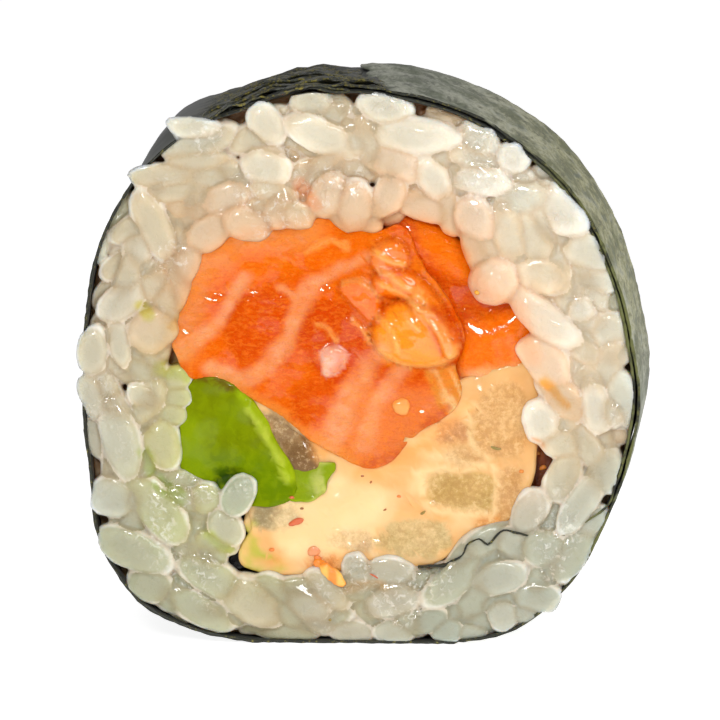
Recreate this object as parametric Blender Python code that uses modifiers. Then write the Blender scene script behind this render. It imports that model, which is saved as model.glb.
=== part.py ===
"""A thick cut piece of a nori-wrapped sushi roll, standing on the side that the rolling mat pressed flat.

One cut face looks along -Y and the other along +Y, +X is to the right of the front face and +Z is up.
Outlines are (x, z) pairs in millimetres on the cut face, counter-clockwise, with z = 0 at the table.
"""

import math
import random

import bmesh
import bpy
from mathutils import Matrix, Vector

MM = 0.001

# The roll
ROLL_DEPTH = 22.0
FRONT = -ROLL_DEPTH / 2
BACK = ROLL_DEPTH / 2
GAP = 0.3  # kept between neighbouring solids

# The sheet of nori
NORI = 0.35  # thickness of one layer
LAYER_GAP = 0.25  # air between the two layers where the sheet overlaps itself
CRUMPLED = 1.15  # thickness where the damp sheet has crumpled, just past the flap's end
STEP = 2.6  # spacing of points along the sheet
TUCKED_STEP = 1.1  # the same on its tucked-in end, which winds more tightly
DEPTH_STEPS = 2  # spans of the sheet from face to face
WRINKLE = 0.09  # height of the sheet's wrinkles
WRINKLE_CENTRE = 22.0  # height of the point that the wrinkles are counted round
FOOT_TOP = (1.5, 6.0)  # heights between which the wrinkles begin
JOIN_HEIGHT = 13.0  # where the tucked-in end meets the wall on the right
FLAP_END_X = -1.4  # where the sheet's outer end lies, at the top
FLAP_MIN_HEIGHT = 30.0  # the top of the roll starts above this
FLAP_LIFT = 0.15  # how far that end stands off the layer below
FLAP_LIFT_SPAN = 6.0  # length over which it lifts
STEP_DOWN = (0.5, 3.2)  # past the flap's end, where the layer below comes up to the surface
CRUMPLE_RISE = (1.0, 4.0)  # past the flap's end, where the sheet thickens
CRUMPLE_FALL = (7.0, 12.0)  # and where it is thin again

# The wall of the roll, from the right end of its flat foot round to the left end
WALL = [
    (8.0, 0.0), (12.3, 0.9), (16.0, 3.6), (19.2, 8.2), (21.9, 14.6), (23.0, 20.5),
    (22.4, 25.5), (20.9, 31.2), (18.0, 36.9), (13.6, 41.4), (7.2, 44.8), (0.0, 46.3),
    (-7.5, 45.2), (-14.2, 42.6), (-18.8, 38.4), (-21.6, 33.4), (-22.9, 27.0), (-23.1, 20.0),
    (-22.5, 12.6), (-21.4, 7.3), (-18.4, 3.2), (-13.8, 0.9), (-9.0, 0.0),
]
# The end of the sheet that is tucked in between the bottom rice and the filling
TUCKED_END = [
    (5.8, 6.2), (7.6, 7.4), (8.9, 8.9), (9.9, 8.6), (11.4, 10.0), (14.2, 10.1), (17.6, 10.3),
    (20.2, 11.4),
]

# What the roll is filled with
FILLING = [
    (-15.4, 24.6), (-15.0, 20.6), (-14.8, 14.2), (-11.0, 12.6), (-10.3, 8.2), (-7.4, 6.4), (-2.0, 6.7),
    (2.2, 6.0), (6.2, 7.1), (9.4, 10.0), (12.6, 11.0), (14.6, 15.4), (13.8, 21.0), (13.8, 25.8),
    (12.0, 28.8), (9.6, 29.6), (7.8, 33.0), (4.6, 35.0), (1.6, 34.0), (-4.0, 34.4), (-9.6, 33.8),
    (-13.4, 31.4), (-14.6, 28.4),
]
SALMON_SLAB = [
    (-15.2, 24.5), (-12.2, 22.0), (-7.8, 20.6), (-4.9, 18.0), (-2.4, 15.7), (0.6, 14.8), (3.0, 16.2),
    (5.4, 18.6), (7.8, 20.2), (8.2, 21.8), (6.9, 25.4), (5.1, 29.4), (3.1, 31.8), (1.6, 33.6),
    (-4.2, 34.0), (-9.6, 33.4), (-13.1, 31.2), (-14.3, 28.4),
]
SALMON_SIDE = [
    (8.6, 21.6), (13.3, 22.2), (13.5, 25.7), (12.0, 28.4), (9.3, 29.4), (7.4, 32.6), (5.0, 34.4), (3.3, 34.2),
    (2.0, 32.0), (5.0, 27.0),
]
AVOCADO = [
    (-14.4, 14.4), (-12.4, 13.3), (-10.4, 12.0), (-8.6, 11.4), (-6.6, 12.2), (-6.0, 14.2), (-7.6, 18.0),
    (-9.4, 20.4), (-11.6, 21.6), (-14.0, 21.2), (-14.5, 17.6),
]
AVOCADO_BIT = [(-5.2, 11.6), (-3.4, 11.4), (-2.8, 14.3), (-4.6, 14.1)]
CUCUMBER_TOP = [(-5.4, 15.1), (-4.2, 14.8), (-5.6, 17.2), (-7.6, 18.8), (-6.8, 17.0)]
CUCUMBER_LEFT = [(-8.6, 8.6), (-5.0, 9.0), (-4.6, 10.4), (-7.4, 10.8)]
CUCUMBER_LOW = [(-0.8, 8.2), (2.4, 7.2), (6.2, 8.2), (7.4, 9.8), (3.4, 11.2), (-0.6, 10.2)]
CUCUMBER_MID = [(5.6, 12.0), (9.2, 11.4), (10.8, 12.0), (10.9, 14.4), (5.2, 14.4)]
CUCUMBER_SIDE = [(11.5, 11.2), (12.6, 11.6), (12.7, 14.4), (11.6, 14.6)]
CUCUMBER_RIGHT = [(8.6, 17.4), (11.2, 15.4), (13.6, 16.0), (13.0, 21.4), (10.0, 20.9), (9.0, 19.4)]
CREAM = [
    (-9.9, 8.0), (-7.4, 6.8), (-2.0, 7.1), (2.2, 6.4), (6.0, 7.4), (9.2, 10.3), (12.4, 11.3),
    (14.2, 15.4), (13.4, 22.4), (9.6, 22.2), (6.2, 20.6), (1.6, 17.4), (-3.4, 18.2), (-7.8, 21.2),
    (-9.4, 20.0), (-7.8, 15.0), (-8.6, 12.0), (-10.4, 11.0),
]

# Each filling's front and back face; the cut leaves some proud and drags others in
SLAB_ENDS = (FRONT + 0.2, BACK - 0.2)
SIDE_ENDS = (FRONT + 2.6, BACK - 2.2)
AVOCADO_ENDS = (FRONT + 0.4, BACK - 0.4)
CREAM_ENDS = (FRONT + 0.5, BACK - 0.5)
CUCUMBER_ENDS = (FRONT + 0.3, BACK - 0.3)
# A flake of the slab that the knife pushed out: centre and half sizes of its lumps on the front face
FLAKES = [((3.9, 26.2), (3.9, 1.7, 3.1)), ((0.9, 28.8), (2.2, 1.1, 1.7)), ((6.4, 23.2), (1.6, 1.0, 2.2))]
EDGE_ROUND = 0.45
OUTLINE_STEP = 1.3  # spacing of points round a filling
CUTTER_PAST = 5.0  # how far a cutter runs past each cut face

# Cooked rice
GRAIN_LENGTH = 6.4
GRAIN_WIDTH = 3.0
GRAIN_APART = 2.25  # least distance between two grains' middles
GRAIN_CLEAR = 0.15  # kept between a grain and what it lies beside
PLACE_SPACING = 1.5  # between the places tried for a grain's middle
GRAIN_SHARES = (1.0, 0.78, 0.56)  # of the full length, tried in turn where a grain has to be short
GRAIN_TURNS = 12  # directions tried at each length
GRAIN_SUNK = 0.75  # how far a grain's middle lies inside the cut face
CORE_SUNK = 1.2  # how far the packed rice under the grains lies inside it
RICE_SEED = 11
PLACE_JITTER = 0.4  # how far a place in a row is moved at random
DEPTH_JITTER = 0.35  # and a grain's depth
MOST_TILT = 0.25  # radians that a grain leans out of the cut face
LENGTH_RANGE = (0.94, 1.06)  # of a grain's length
SLIT_POINTS = 14  # points past the tucked-in end that its slot in the rice follows
SLIT_LEAD = (-1.2, -1.0)  # from the sheet's tip to the start of that slot

# Finish
RIM_ANGLE = math.radians(60)  # edges sharper than this are rounded
SMOOTH_ANGLE = math.radians(40)


def spline(points, closed, pieces=8):
    """Catmull-Rom curve through the points, as a dense list of points."""
    count = len(points)
    last = count if closed else count - 1
    curve = []
    for i in range(last):
        if closed:
            a, b, c, d = (points[(i + k) % count] for k in (-1, 0, 1, 2))
        else:
            a, b, c, d = (points[min(max(i + k, 0), count - 1)] for k in (-1, 0, 1, 2))
        for j in range(pieces):
            t = j / pieces
            point = []
            for p, q, r, s in zip(a, b, c, d):
                square, cube = 2 * p - 5 * q + 4 * r - s, 3 * q - p - 3 * r + s
                point.append(0.5 * (2 * q + (r - p) * t + square * t ** 2 + cube * t ** 3))
            curve.append(tuple(point))
    return curve if closed else [*curve, points[-1]]


def resample(points, spacing, closed=False):
    """Points about this far apart along the line, ends kept."""
    line = [*points, points[0]] if closed else list(points)
    lengths = [0.0]
    for a, b in zip(line, line[1:]):
        lengths.append(lengths[-1] + math.dist(a, b))
    count = max(3, round(lengths[-1] / spacing))
    found = []
    k = 0
    for i in range(count if closed else count + 1):
        goal = lengths[-1] * i / count
        while k < len(line) - 2 and lengths[k + 1] < goal:
            k += 1
        share = (goal - lengths[k]) / max(lengths[k + 1] - lengths[k], 1e-9)
        found.append(tuple(a + (b - a) * share for a, b in zip(line[k], line[k + 1])))
    return found


def inward(line, i, closed=False):
    """Left-hand normal at a point of a line, which points into a counter-clockwise loop."""
    last = len(line) - 1
    before = line[i - 1] if closed or i else line[0]
    after = line[(i + 1) % len(line)] if closed else line[min(i + 1, last)]
    x, z = after[0] - before[0], after[1] - before[1]
    length = math.hypot(x, z)
    return -z / length, x / length


def shifted(line, distance, closed=False):
    """The line moved sideways: to its left by a distance, or by distance(i) at each point."""
    moved = []
    for i, (x, z) in enumerate(line):
        nx, nz = inward(line, i, closed)
        by = distance(i) if callable(distance) else distance
        moved.append((x + nx * by, z + nz * by))
    return moved


def grown(loop, by=GAP):
    """A loop this much larger all round."""
    return shifted(loop, -by, closed=True)


def ease(low, high, value):
    """0 below low, 1 above high, smooth between."""
    t = min(1.0, max(0.0, (value - low) / (high - low)))
    return t * t * (3 - 2 * t)


def contains(loop, x, z):
    """Whether the point is inside the loop."""
    inside = False
    for (ax, az), (bx, bz) in zip(loop, [*loop[1:], loop[0]]):
        if (az > z) != (bz > z) and x < (bx - ax) * (z - az) / (bz - az) + ax:
            inside = not inside
    return inside


def material(name, colour, roughness):
    """Plain Principled finish."""
    made = bpy.data.materials.new(name)
    made.use_nodes = True
    shader = made.node_tree.nodes["Principled BSDF"]
    shader.inputs["Base Color"].default_value = (*colour, 1.0)
    shader.inputs["Roughness"].default_value = roughness
    shader.inputs["Metallic"].default_value = 0.0
    return made


def add_object(name, mesh, home):
    made = bpy.data.objects.new(name, mesh)
    home.objects.link(made)
    return made


def prism(name, loop, ends, home):
    """Solid with this outline on the cut face, from ends[0] to ends[1] in depth."""
    curve = bpy.data.curves.new(name + "_outline", "CURVE")
    curve.dimensions = "2D"
    curve.fill_mode = "BOTH"
    curve.extrude = (ends[1] - ends[0]) / 2 * MM
    line = curve.splines.new("POLY")
    line.points.add(len(loop) - 1)
    for point, (x, z) in zip(line.points, loop):
        point.co = (x * MM, z * MM, 0.0, 1.0)
    line.use_cyclic_u = True
    flat = add_object(name + "_flat", curve, home)
    flat.rotation_euler.x = math.pi / 2
    flat.location.y = (ends[0] + ends[1]) / 2 * MM
    bpy.context.view_layer.update()
    mesh = bpy.data.meshes.new_from_object(flat.evaluated_get(bpy.context.evaluated_depsgraph_get()))
    shaper = bmesh.new()
    shaper.from_mesh(mesh)
    bmesh.ops.remove_doubles(shaper, verts=shaper.verts, dist=1e-6)
    bmesh.ops.recalc_face_normals(shaper, faces=shaper.faces)
    shaper.to_mesh(mesh)
    shaper.free()
    mesh.transform(flat.matrix_world)
    solid = add_object(name, mesh, home)
    bpy.data.objects.remove(flat)
    return solid


def cutter(name, loop, cutters):
    """Helper that cuts this outline right through the roll."""
    made = prism(name, loop, (FRONT - CUTTER_PAST, BACK + CUTTER_PAST), cutters)
    made.hide_render = True
    made.display_type = "WIRE"
    return made


def boolean(target, operation, other, solver="EXACT"):
    """Boolean with an object or a collection."""
    modifier = target.modifiers.new(operation.lower(), "BOOLEAN")
    modifier.operation = operation
    modifier.solver = solver
    if isinstance(other, bpy.types.Collection):
        modifier.operand_type = "COLLECTION"
        modifier.collection = other
    else:
        modifier.object = other


def apply_modifiers(target):
    """The evaluated mesh becomes the object's own."""
    bpy.context.view_layer.update()
    graph = bpy.context.evaluated_depsgraph_get()
    mesh = bpy.data.meshes.new_from_object(target.evaluated_get(graph))
    target.modifiers.clear()
    target.data = mesh


def drop_scraps(target):
    """Keeps the largest of an object's loose shells: slivers go, and sealed hollows are filled."""
    shaper = bmesh.new()
    shaper.from_mesh(target.data)
    bodies = []
    unseen = set(shaper.verts)
    while unseen:
        body = set()
        reached = [unseen.pop()]
        while reached:
            vertex = reached.pop()
            body.add(vertex)
            for edge in vertex.link_edges:
                other = edge.other_vert(vertex)
                if other in unseen:
                    unseen.discard(other)
                    reached.append(other)
        bodies.append(body)
    bodies.sort(key=len, reverse=True)
    bmesh.ops.delete(shaper, geom=[vertex for body in bodies[1:] for vertex in body], context="VERTS")
    shaper.to_mesh(target.data)
    shaper.free()


def round_ends(target, segments):
    """Softens the rims of the two cut faces."""
    bevel = target.modifiers.new("soft_rims", "BEVEL")
    bevel.width = EDGE_ROUND * MM
    bevel.segments = segments
    bevel.limit_method = "ANGLE"
    bevel.angle_limit = RIM_ANGLE


def shade_smooth(target):
    target.data.shade_smooth()
    target.data.set_sharp_from_angle(angle=SMOOTH_ANGLE)


def wall_line():
    """The wall from the right end of the foot round to its left end, evenly spaced."""
    return resample(spline(WALL, closed=False), STEP)


def arc_lengths(line):
    """Distance along the line to each of its points."""
    lengths = [0.0]
    for a, b in zip(line, line[1:]):
        lengths.append(lengths[-1] + math.dist(a, b))
    return lengths


def flap_end_index(wall):
    """The wall's point where the sheet's outer end lies."""
    return next(i for i, (x, z) in enumerate(wall) if z > FLAP_MIN_HEIGHT and x < FLAP_END_X)


def join_index(wall):
    """The wall's point where the tucked-in end leaves it."""
    return next(i for i, (_, z) in enumerate(wall) if z > JOIN_HEIGHT)


def under_flap(wall):
    """For each point of the wall, how far the innermost layer of nori lies below the surface."""
    lengths = arc_lengths(wall)
    flap, join = lengths[flap_end_index(wall)], lengths[join_index(wall)]
    start, end = STEP_DOWN
    return [
        (NORI + LAYER_GAP) * ease(join - STEP, join, length) * (1 - ease(flap + start, flap + end, length))
        for length in lengths
    ]


def layer_thickness(wall):
    """For each point of the wall, the thickness of that layer."""
    lengths = arc_lengths(wall)
    flap = lengths[flap_end_index(wall)]
    thickness = []
    for length in lengths:
        crumpled = ease(*CRUMPLE_RISE, length - flap) * (1 - ease(*CRUMPLE_FALL, length - flap))
        thickness.append(NORI + (CRUMPLED - NORI) * crumpled)
    return thickness


def nori_course():
    """The middle line of the sheet from its tucked-in end to the end of the flap, and its thickness there."""
    wall = wall_line()
    depth, thickness = under_flap(wall), layer_thickness(wall)
    join, flap = join_index(wall), flap_end_index(wall)
    first_turn = shifted(wall, lambda i: depth[i] + thickness[i] / 2)[join:]
    foot = resample([(WALL[-1][0] + 1, NORI / 2), (WALL[0][0] - 1, NORI / 2)], STEP)
    lengths = arc_lengths(wall)
    lift = [FLAP_LIFT * ease(lengths[flap] - FLAP_LIFT_SPAN, lengths[flap], s) for s in lengths]
    overlap = shifted(wall, lambda i: NORI / 2 - lift[i])[: flap + 1]
    tucked = resample(spline([*TUCKED_END, first_turn[0]], closed=False), TUCKED_STEP)[:-1]
    line = [*tucked, *first_turn, *foot, *overlap]
    widths = [NORI] * len(tucked) + thickness[join:] + [NORI] * (len(foot) + len(overlap))
    return line, widths


def wrinkle(x, z, y):
    """How far the damp sheet stands out at a point, nothing at the foot."""
    turn = math.atan2(z - WRINKLE_CENTRE, x)
    waves = math.sin(5 * turn + 0.35 * y) + 0.6 * math.sin(11 * turn - 0.5 * y + 1.0)
    return WRINKLE * waves * ease(*FOOT_TOP, z)


def make_nori(home, finish):
    """The sheet as an open ribbon with Solidify, thicker where it is crumpled."""
    line, widths = nori_course()
    shaper = bmesh.new()
    rows = []
    for step in range(DEPTH_STEPS + 1):
        y = FRONT + ROLL_DEPTH * step / DEPTH_STEPS
        row = []
        for i, (x, z) in enumerate(line):
            nx, nz = inward(line, i)
            out = 0.0 if i < len(TUCKED_END) else wrinkle(x, z, y)
            row.append(shaper.verts.new(((x - nx * out) * MM, y * MM, (z - nz * out) * MM)))
        rows.append(row)
    for near, far in zip(rows, rows[1:]):
        for i in range(len(line) - 1):
            shaper.faces.new((near[i], near[i + 1], far[i + 1], far[i]))
    mesh = bpy.data.meshes.new("nori")
    shaper.to_mesh(mesh)
    shaper.free()
    sheet = add_object("nori", mesh, home)
    thick = sheet.vertex_groups.new(name="thickness")
    for i in range(len(mesh.vertices)):
        thick.add([i], widths[i % len(line)] / CRUMPLED, "REPLACE")
    solidify = sheet.modifiers.new("sheet", "SOLIDIFY")
    solidify.thickness = CRUMPLED * MM
    solidify.offset = 0.0
    solidify.use_even_offset = True
    solidify.vertex_group = "thickness"
    solidify.thickness_vertex_group = 0.0
    mesh.materials.append(finish)
    apply_modifiers(sheet)
    shade_smooth(sheet)


def filling_outline(loop):
    """The smooth outline through a filling's drawn points."""
    return resample(spline(loop, closed=True), OUTLINE_STEP, closed=True)


def make_filling(name, loop, ends, avoid, home, cutters, finish, segments=2):
    """One filling that runs from face to face, cut clear of those already in place."""
    outline = filling_outline(loop)
    made = prism(name, outline, ends, home)
    for other in avoid:
        boolean(made, "DIFFERENCE", other)
    apply_modifiers(made)
    drop_scraps(made)
    round_ends(made, segments)
    apply_modifiers(made)
    made.data.materials.clear()
    made.data.materials.append(finish)
    shade_smooth(made)
    return cutter(name + "_room", grown(outline), cutters)


def add_flakes(slab, home):
    """Fuses the pushed-out lumps to the slab's front face."""
    lumps = bpy.data.collections.new("salmon_lumps")
    bpy.context.scene.collection.children.link(lumps)
    for i, ((x, z), half) in enumerate(FLAKES):
        shaper = bmesh.new()
        bmesh.ops.create_icosphere(shaper, subdivisions=2, radius=1.0)
        mesh = bpy.data.meshes.new("lump")
        shaper.to_mesh(mesh)
        shaper.free()
        place = Matrix.Translation((x * MM, SLAB_ENDS[0] * MM, z * MM))
        mesh.transform(place @ Matrix.Diagonal((*(h * MM for h in half), 1.0)))
        add_object(f"lump_{i}", mesh, lumps)
    boolean(slab, "UNION", lumps)
    apply_modifiers(slab)
    for lump in list(lumps.objects):
        bpy.data.objects.remove(lump)
    bpy.data.collections.remove(lumps)


def rice_room():
    """The outer loop of the packed rice, just inside the nori."""
    wall = wall_line()
    depth, thickness = under_flap(wall), layer_thickness(wall)
    side = shifted(wall, lambda i: depth[i] + thickness[i] + GAP + WRINKLE)
    floor = NORI + GAP
    return [(x, max(z, floor)) for x, z in side if z > -1]


def tucked_slit():
    """Outline of the slot that the tucked-in end of the nori takes out of the rice."""
    line, _ = nori_course()
    tip_x, tip_z = line[0]
    lead = (tip_x + SLIT_LEAD[0], tip_z + SLIT_LEAD[1])
    course = [lead, *line[: len(TUCKED_END) + SLIT_POINTS]]
    half = NORI / 2 + GAP
    return [*shifted(course, -half), *reversed(shifted(course, half))]


def grain_mesh(length, width):
    """One cooked grain along X, plump and rounded at the ends."""
    shaper = bmesh.new()
    bmesh.ops.create_uvsphere(shaper, u_segments=6, v_segments=4, radius=0.5)
    turn = Matrix.Rotation(math.pi / 2, 4, "Y")
    size = Matrix.Diagonal((length * MM, width * MM, width * MM, 1.0))
    bmesh.ops.transform(shaper, matrix=size @ turn, verts=shaper.verts)
    mesh = bpy.data.meshes.new("grain")
    shaper.to_mesh(mesh)
    shaper.free()
    return mesh


def footprint(x, z, length, angle):
    """Points round the rim of a grain and over it, as seen on the cut face."""
    c, s = math.cos(angle), math.sin(angle)
    found = []
    for share in (1.0, 0.7, 0.4):
        for k in range(16):
            turn = 2 * math.pi * k / 16
            along = (length / 2 + GRAIN_CLEAR) * share * math.cos(turn)
            across = (GRAIN_WIDTH / 2 + GRAIN_CLEAR) * share * math.sin(turn)
            found.append((x + along * c - across * s, z + along * s + across * c))
    return found


def fits(points, outer, holes):
    return all(contains(outer, *p) and not any(contains(hole, *p) for hole in holes) for p in points)


def grain_places(outer, filling, draw):
    """Where a grain's middle may lie: in rows round the filling and along the nori, and between them."""
    beside = GRAIN_WIDTH / 2 + GRAIN_CLEAR
    places = []
    for row in (
        resample(grown(filling, beside), PLACE_SPACING, closed=True),
        resample(shifted(outer, beside), PLACE_SPACING),
    ):
        draw.shuffle(row)
        jitter = (-PLACE_JITTER, PLACE_JITTER)
        places += [(x + draw.uniform(*jitter), z + draw.uniform(*jitter)) for x, z in row]
    rows = int(2.2 * max(x for x, _ in outer) / PLACE_SPACING)
    columns = range(-rows // 2, rows // 2 + 1)
    between = [(i * PLACE_SPACING, k * PLACE_SPACING) for i in columns for k in range(rows)]
    draw.shuffle(between)
    return places + between


def spread_grains(outer, holes, draw):
    """Grains spread evenly over the rice of one cut face, each turned or shortened until it fits."""
    placed = []
    for x, z in grain_places(outer, holes[0], draw):
        start = draw.uniform(0, math.pi)
        if any(math.dist((x, z), other[:2]) < GRAIN_APART for other in placed):
            continue
        turns = [start + math.pi * k / GRAIN_TURNS for k in range(GRAIN_TURNS)]
        tries = [(share, angle) for share in GRAIN_SHARES for angle in turns]
        for share, angle in tries:
            length = GRAIN_LENGTH * share * draw.uniform(*LENGTH_RANGE)
            if fits(footprint(x, z, length, angle), outer, holes):
                placed.append((x, z, length, angle))
                break
    return placed


def make_rice(home, cutters, rooms, finish):
    """Packed rice round the filling, with the grains of both cut faces fused to it."""
    outer = rice_room()
    slit = cutter("tucked_end_room", tucked_slit(), cutters)
    rice = prism("rice", outer, (FRONT + CORE_SUNK, BACK - CORE_SUNK), home)
    for room in [*rooms, slit]:
        boolean(rice, "DIFFERENCE", room)
    apply_modifiers(rice)
    holes = [grown(filling_outline(FILLING)), tucked_slit()]
    grains = bpy.data.collections.new("grains")
    bpy.context.scene.collection.children.link(grains)
    draw = random.Random(RICE_SEED)
    for face in (FRONT, BACK):
        sunk = GRAIN_SUNK if face < 0 else -GRAIN_SUNK
        for x, z, length, angle in spread_grains(outer, holes, draw):
            mesh = grain_mesh(length, GRAIN_WIDTH)
            y = face + sunk + draw.uniform(-DEPTH_JITTER, DEPTH_JITTER)
            tilt = Matrix.Rotation(draw.uniform(-MOST_TILT, MOST_TILT), 4, "Z")
            place = Matrix.Translation((x * MM, y * MM, z * MM)) @ Matrix.Rotation(-angle, 4, "Y") @ tilt
            mesh.transform(place)
            add_object("grain", mesh, grains)
    print(len(grains.objects), "grains")
    boolean(rice, "UNION", grains, solver="MANIFOLD")
    apply_modifiers(rice)
    drop_scraps(rice)
    for grain in list(grains.objects):
        bpy.data.objects.remove(grain)
    bpy.data.collections.remove(grains)
    rice.data.materials.clear()
    rice.data.materials.append(finish)
    shade_smooth(rice)


def centre_on_foot(home):
    """Puts the origin under the middle of the whole piece, at table height."""
    bpy.context.view_layer.update()
    corners = [Vector(corner) for obj in home.objects for corner in obj.bound_box]
    lows = [min(c[k] for c in corners) for k in range(3)]
    highs = [max(c[k] for c in corners) for k in range(3)]
    move = Matrix.Translation((-(lows[0] + highs[0]) / 2, -(lows[1] + highs[1]) / 2, -lows[2]))
    for obj in home.objects:
        obj.data.transform(move)
    print("moved by", [round(v / MM, 3) for v in move.translation], "mm")


def main():
    for obj in list(bpy.data.objects):
        bpy.data.objects.remove(obj, do_unlink=True)
    home = bpy.data.collections.new("sushi_roll")
    cutters = bpy.data.collections.new("cutters")
    for collection in (home, cutters):
        bpy.context.scene.collection.children.link(collection)
    salmon = material("salmon", (0.85, 0.22, 0.03), 0.35)
    green = material("avocado", (0.33, 0.42, 0.02), 0.45)
    pale = material("cucumber", (0.62, 0.50, 0.26), 0.4)
    sauce = material("cream", (0.95, 0.62, 0.30), 0.35)
    white = material("rice", (0.80, 0.77, 0.70), 0.4)
    seaweed = material("nori", (0.07, 0.08, 0.045), 0.55)

    make_nori(home, seaweed)
    slab = make_filling("salmon_slab", SALMON_SLAB, SLAB_ENDS, [], home, cutters, salmon)
    add_flakes(home.objects["salmon_slab"], home)
    side = make_filling("salmon_side", SALMON_SIDE, SIDE_ENDS, [slab], home, cutters, salmon)
    avocado = make_filling("avocado", AVOCADO, AVOCADO_ENDS, [slab], home, cutters, green)
    inside = [slab, side, avocado]
    for name, loop, finish in (
        ("avocado_bit", AVOCADO_BIT, green),
        ("cucumber_top", CUCUMBER_TOP, pale),
        ("cucumber_left", CUCUMBER_LEFT, pale),
        ("cucumber_low", CUCUMBER_LOW, pale),
        ("cucumber_mid", CUCUMBER_MID, pale),
        ("cucumber_side", CUCUMBER_SIDE, pale),
        ("cucumber_right", CUCUMBER_RIGHT, pale),
    ):
        inside.append(make_filling(name, loop, CUCUMBER_ENDS, inside, home, cutters, finish, segments=1))
    inside.append(make_filling("cream", CREAM, CREAM_ENDS, inside, home, cutters, sauce, segments=1))
    make_rice(home, cutters, inside, white)
    centre_on_foot(home)


main()
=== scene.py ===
# %% [markdown]
# A nori-wrapped sushi roll piece, dressed
#
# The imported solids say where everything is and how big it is. This script gives them their looks: every
# grain of rice, the grain of the fish, the wet cream and the dry sheet of nori are real geometry with
# procedural finishes. It is a lesson in cells: read a text cell, then run the code cell under it.

# %% The frame
import math

import bmesh
import bpy
import numpy as np
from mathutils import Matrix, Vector
from mathutils.bvhtree import BVHTree


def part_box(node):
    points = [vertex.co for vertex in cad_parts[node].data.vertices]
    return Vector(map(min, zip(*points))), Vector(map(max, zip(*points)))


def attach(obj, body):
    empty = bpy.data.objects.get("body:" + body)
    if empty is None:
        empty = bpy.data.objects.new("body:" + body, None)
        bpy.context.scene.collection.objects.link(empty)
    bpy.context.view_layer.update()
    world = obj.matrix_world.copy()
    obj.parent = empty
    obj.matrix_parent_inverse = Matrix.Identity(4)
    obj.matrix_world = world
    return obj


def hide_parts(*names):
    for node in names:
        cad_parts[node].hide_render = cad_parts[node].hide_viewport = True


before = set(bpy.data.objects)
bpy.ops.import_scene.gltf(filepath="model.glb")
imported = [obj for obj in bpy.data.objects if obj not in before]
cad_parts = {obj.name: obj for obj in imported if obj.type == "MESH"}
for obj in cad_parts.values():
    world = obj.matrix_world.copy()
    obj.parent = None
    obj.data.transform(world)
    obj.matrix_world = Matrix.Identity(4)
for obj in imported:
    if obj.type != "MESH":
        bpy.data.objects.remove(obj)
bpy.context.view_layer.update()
print("packed nodes:", sorted(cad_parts))

# %% [markdown]
# Sizes
#
# Shapes are worked out in millimetres on the cut face: x to the right, z up, y away from the viewer. The
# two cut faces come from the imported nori, so the looks follow the solids if those ever move in depth.

# %% Units and the two cut faces
MM = 0.001
PHOTO_SIDE = 720  # pixels
PIXELS_PER_MM = 12.17
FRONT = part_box("nori")[0].y / MM
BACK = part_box("nori")[1].y / MM
print("cut faces at", round(FRONT, 2), "and", round(BACK, 2), "mm")


def paint(red, green, blue):
    """A colour as a screen shows it, from 0 to 255, turned into the linear light that shaders want."""
    return tuple(
        ((c / 255 + 0.055) / 1.055) ** 2.4 if c > 10 else c / 255 / 12.92 for c in (red, green, blue)
    )


# %% [markdown]
# Camera
#
# A cut piece like this is photographed from a step away with a long lens, a little from above and from
# the right, so that a sliver of the wrapped side shows over the top and along the right edge. The lens is
# worked out from the distance and from how many millimetres of the cut face the picture spans.

# %% Camera
CAMERA_AWAY = 800.0
CAMERA_TURN = math.radians(3.6)
CAMERA_RISE = math.radians(7.0)
SENSOR = 36.0

camera_data = bpy.data.cameras.new("studio_camera")
camera_data.sensor_width = SENSOR
camera_data.lens = SENSOR * CAMERA_AWAY * PIXELS_PER_MM / PHOTO_SIDE
camera = bpy.data.objects.new("studio_camera", camera_data)
bpy.context.scene.collection.objects.link(camera)
aim = Vector((-0.16, FRONT, 23.6)) * MM
back_off = Vector((
    math.sin(CAMERA_TURN) * math.cos(CAMERA_RISE),
    -math.cos(CAMERA_TURN) * math.cos(CAMERA_RISE),
    math.sin(CAMERA_RISE),
))
camera.location = aim + back_off * CAMERA_AWAY * MM
camera.rotation_euler = (-back_off).to_track_quat("-Z", "Y").to_euler()
camera_data.clip_start = 0.01
camera_data.clip_end = 20.0
bpy.context.scene.camera = camera
print("lens", round(camera_data.lens), "mm")

# %% [markdown]
# Light and floor
#
# Food on a white sweep is lit by light tents: an even white surround, one large softbox high at the front
# right, and a weak one from the right side so that the grains keep their shape. Two small lamps in front
# make the sharp glints of everything wet: the smaller a lamp, the smaller and harder its glint. The floor
# is a plain disc that glows a little, as a light table does; the standard view transform keeps it white.


# %% Light and floor
def softbox(name, place, size, power):
    """A square area light at a place in millimetres, facing the middle of the roll."""
    light = bpy.data.lights.new(name, "AREA")
    light.size = size * MM
    light.energy = power
    lamp = bpy.data.objects.new(name, light)
    bpy.context.scene.collection.objects.link(lamp)
    lamp.location = Vector(place) * MM
    lamp.rotation_euler = (Vector((0, 0, 22)) * MM - lamp.location).to_track_quat("-Z", "Y").to_euler()
    return lamp


bpy.context.scene.view_settings.view_transform = "Standard"
world = bpy.data.worlds.new("studio")
world.use_nodes = True
surround = world.node_tree.nodes["Background"]
surround.inputs["Color"].default_value = (1.0, 1.0, 1.0, 1.0)
surround.inputs["Strength"].default_value = 0.25
bpy.context.scene.world = world
lamps = [
    softbox("key", (200, -320, 420), size=200, power=0.78),
    softbox("glint", (-70, -430, 210), size=66, power=0.82),
    softbox("second_glint", (150, -430, 150), size=34, power=0.19),
    softbox("edge", (420, -60, 160), size=120, power=0.22),
]
print(len(lamps), "lamps and a white surround")

bpy.ops.mesh.primitive_circle_add(vertices=96, radius=1.2, fill_type="NGON")
floor = bpy.context.object
floor.name = "floor"

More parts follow.
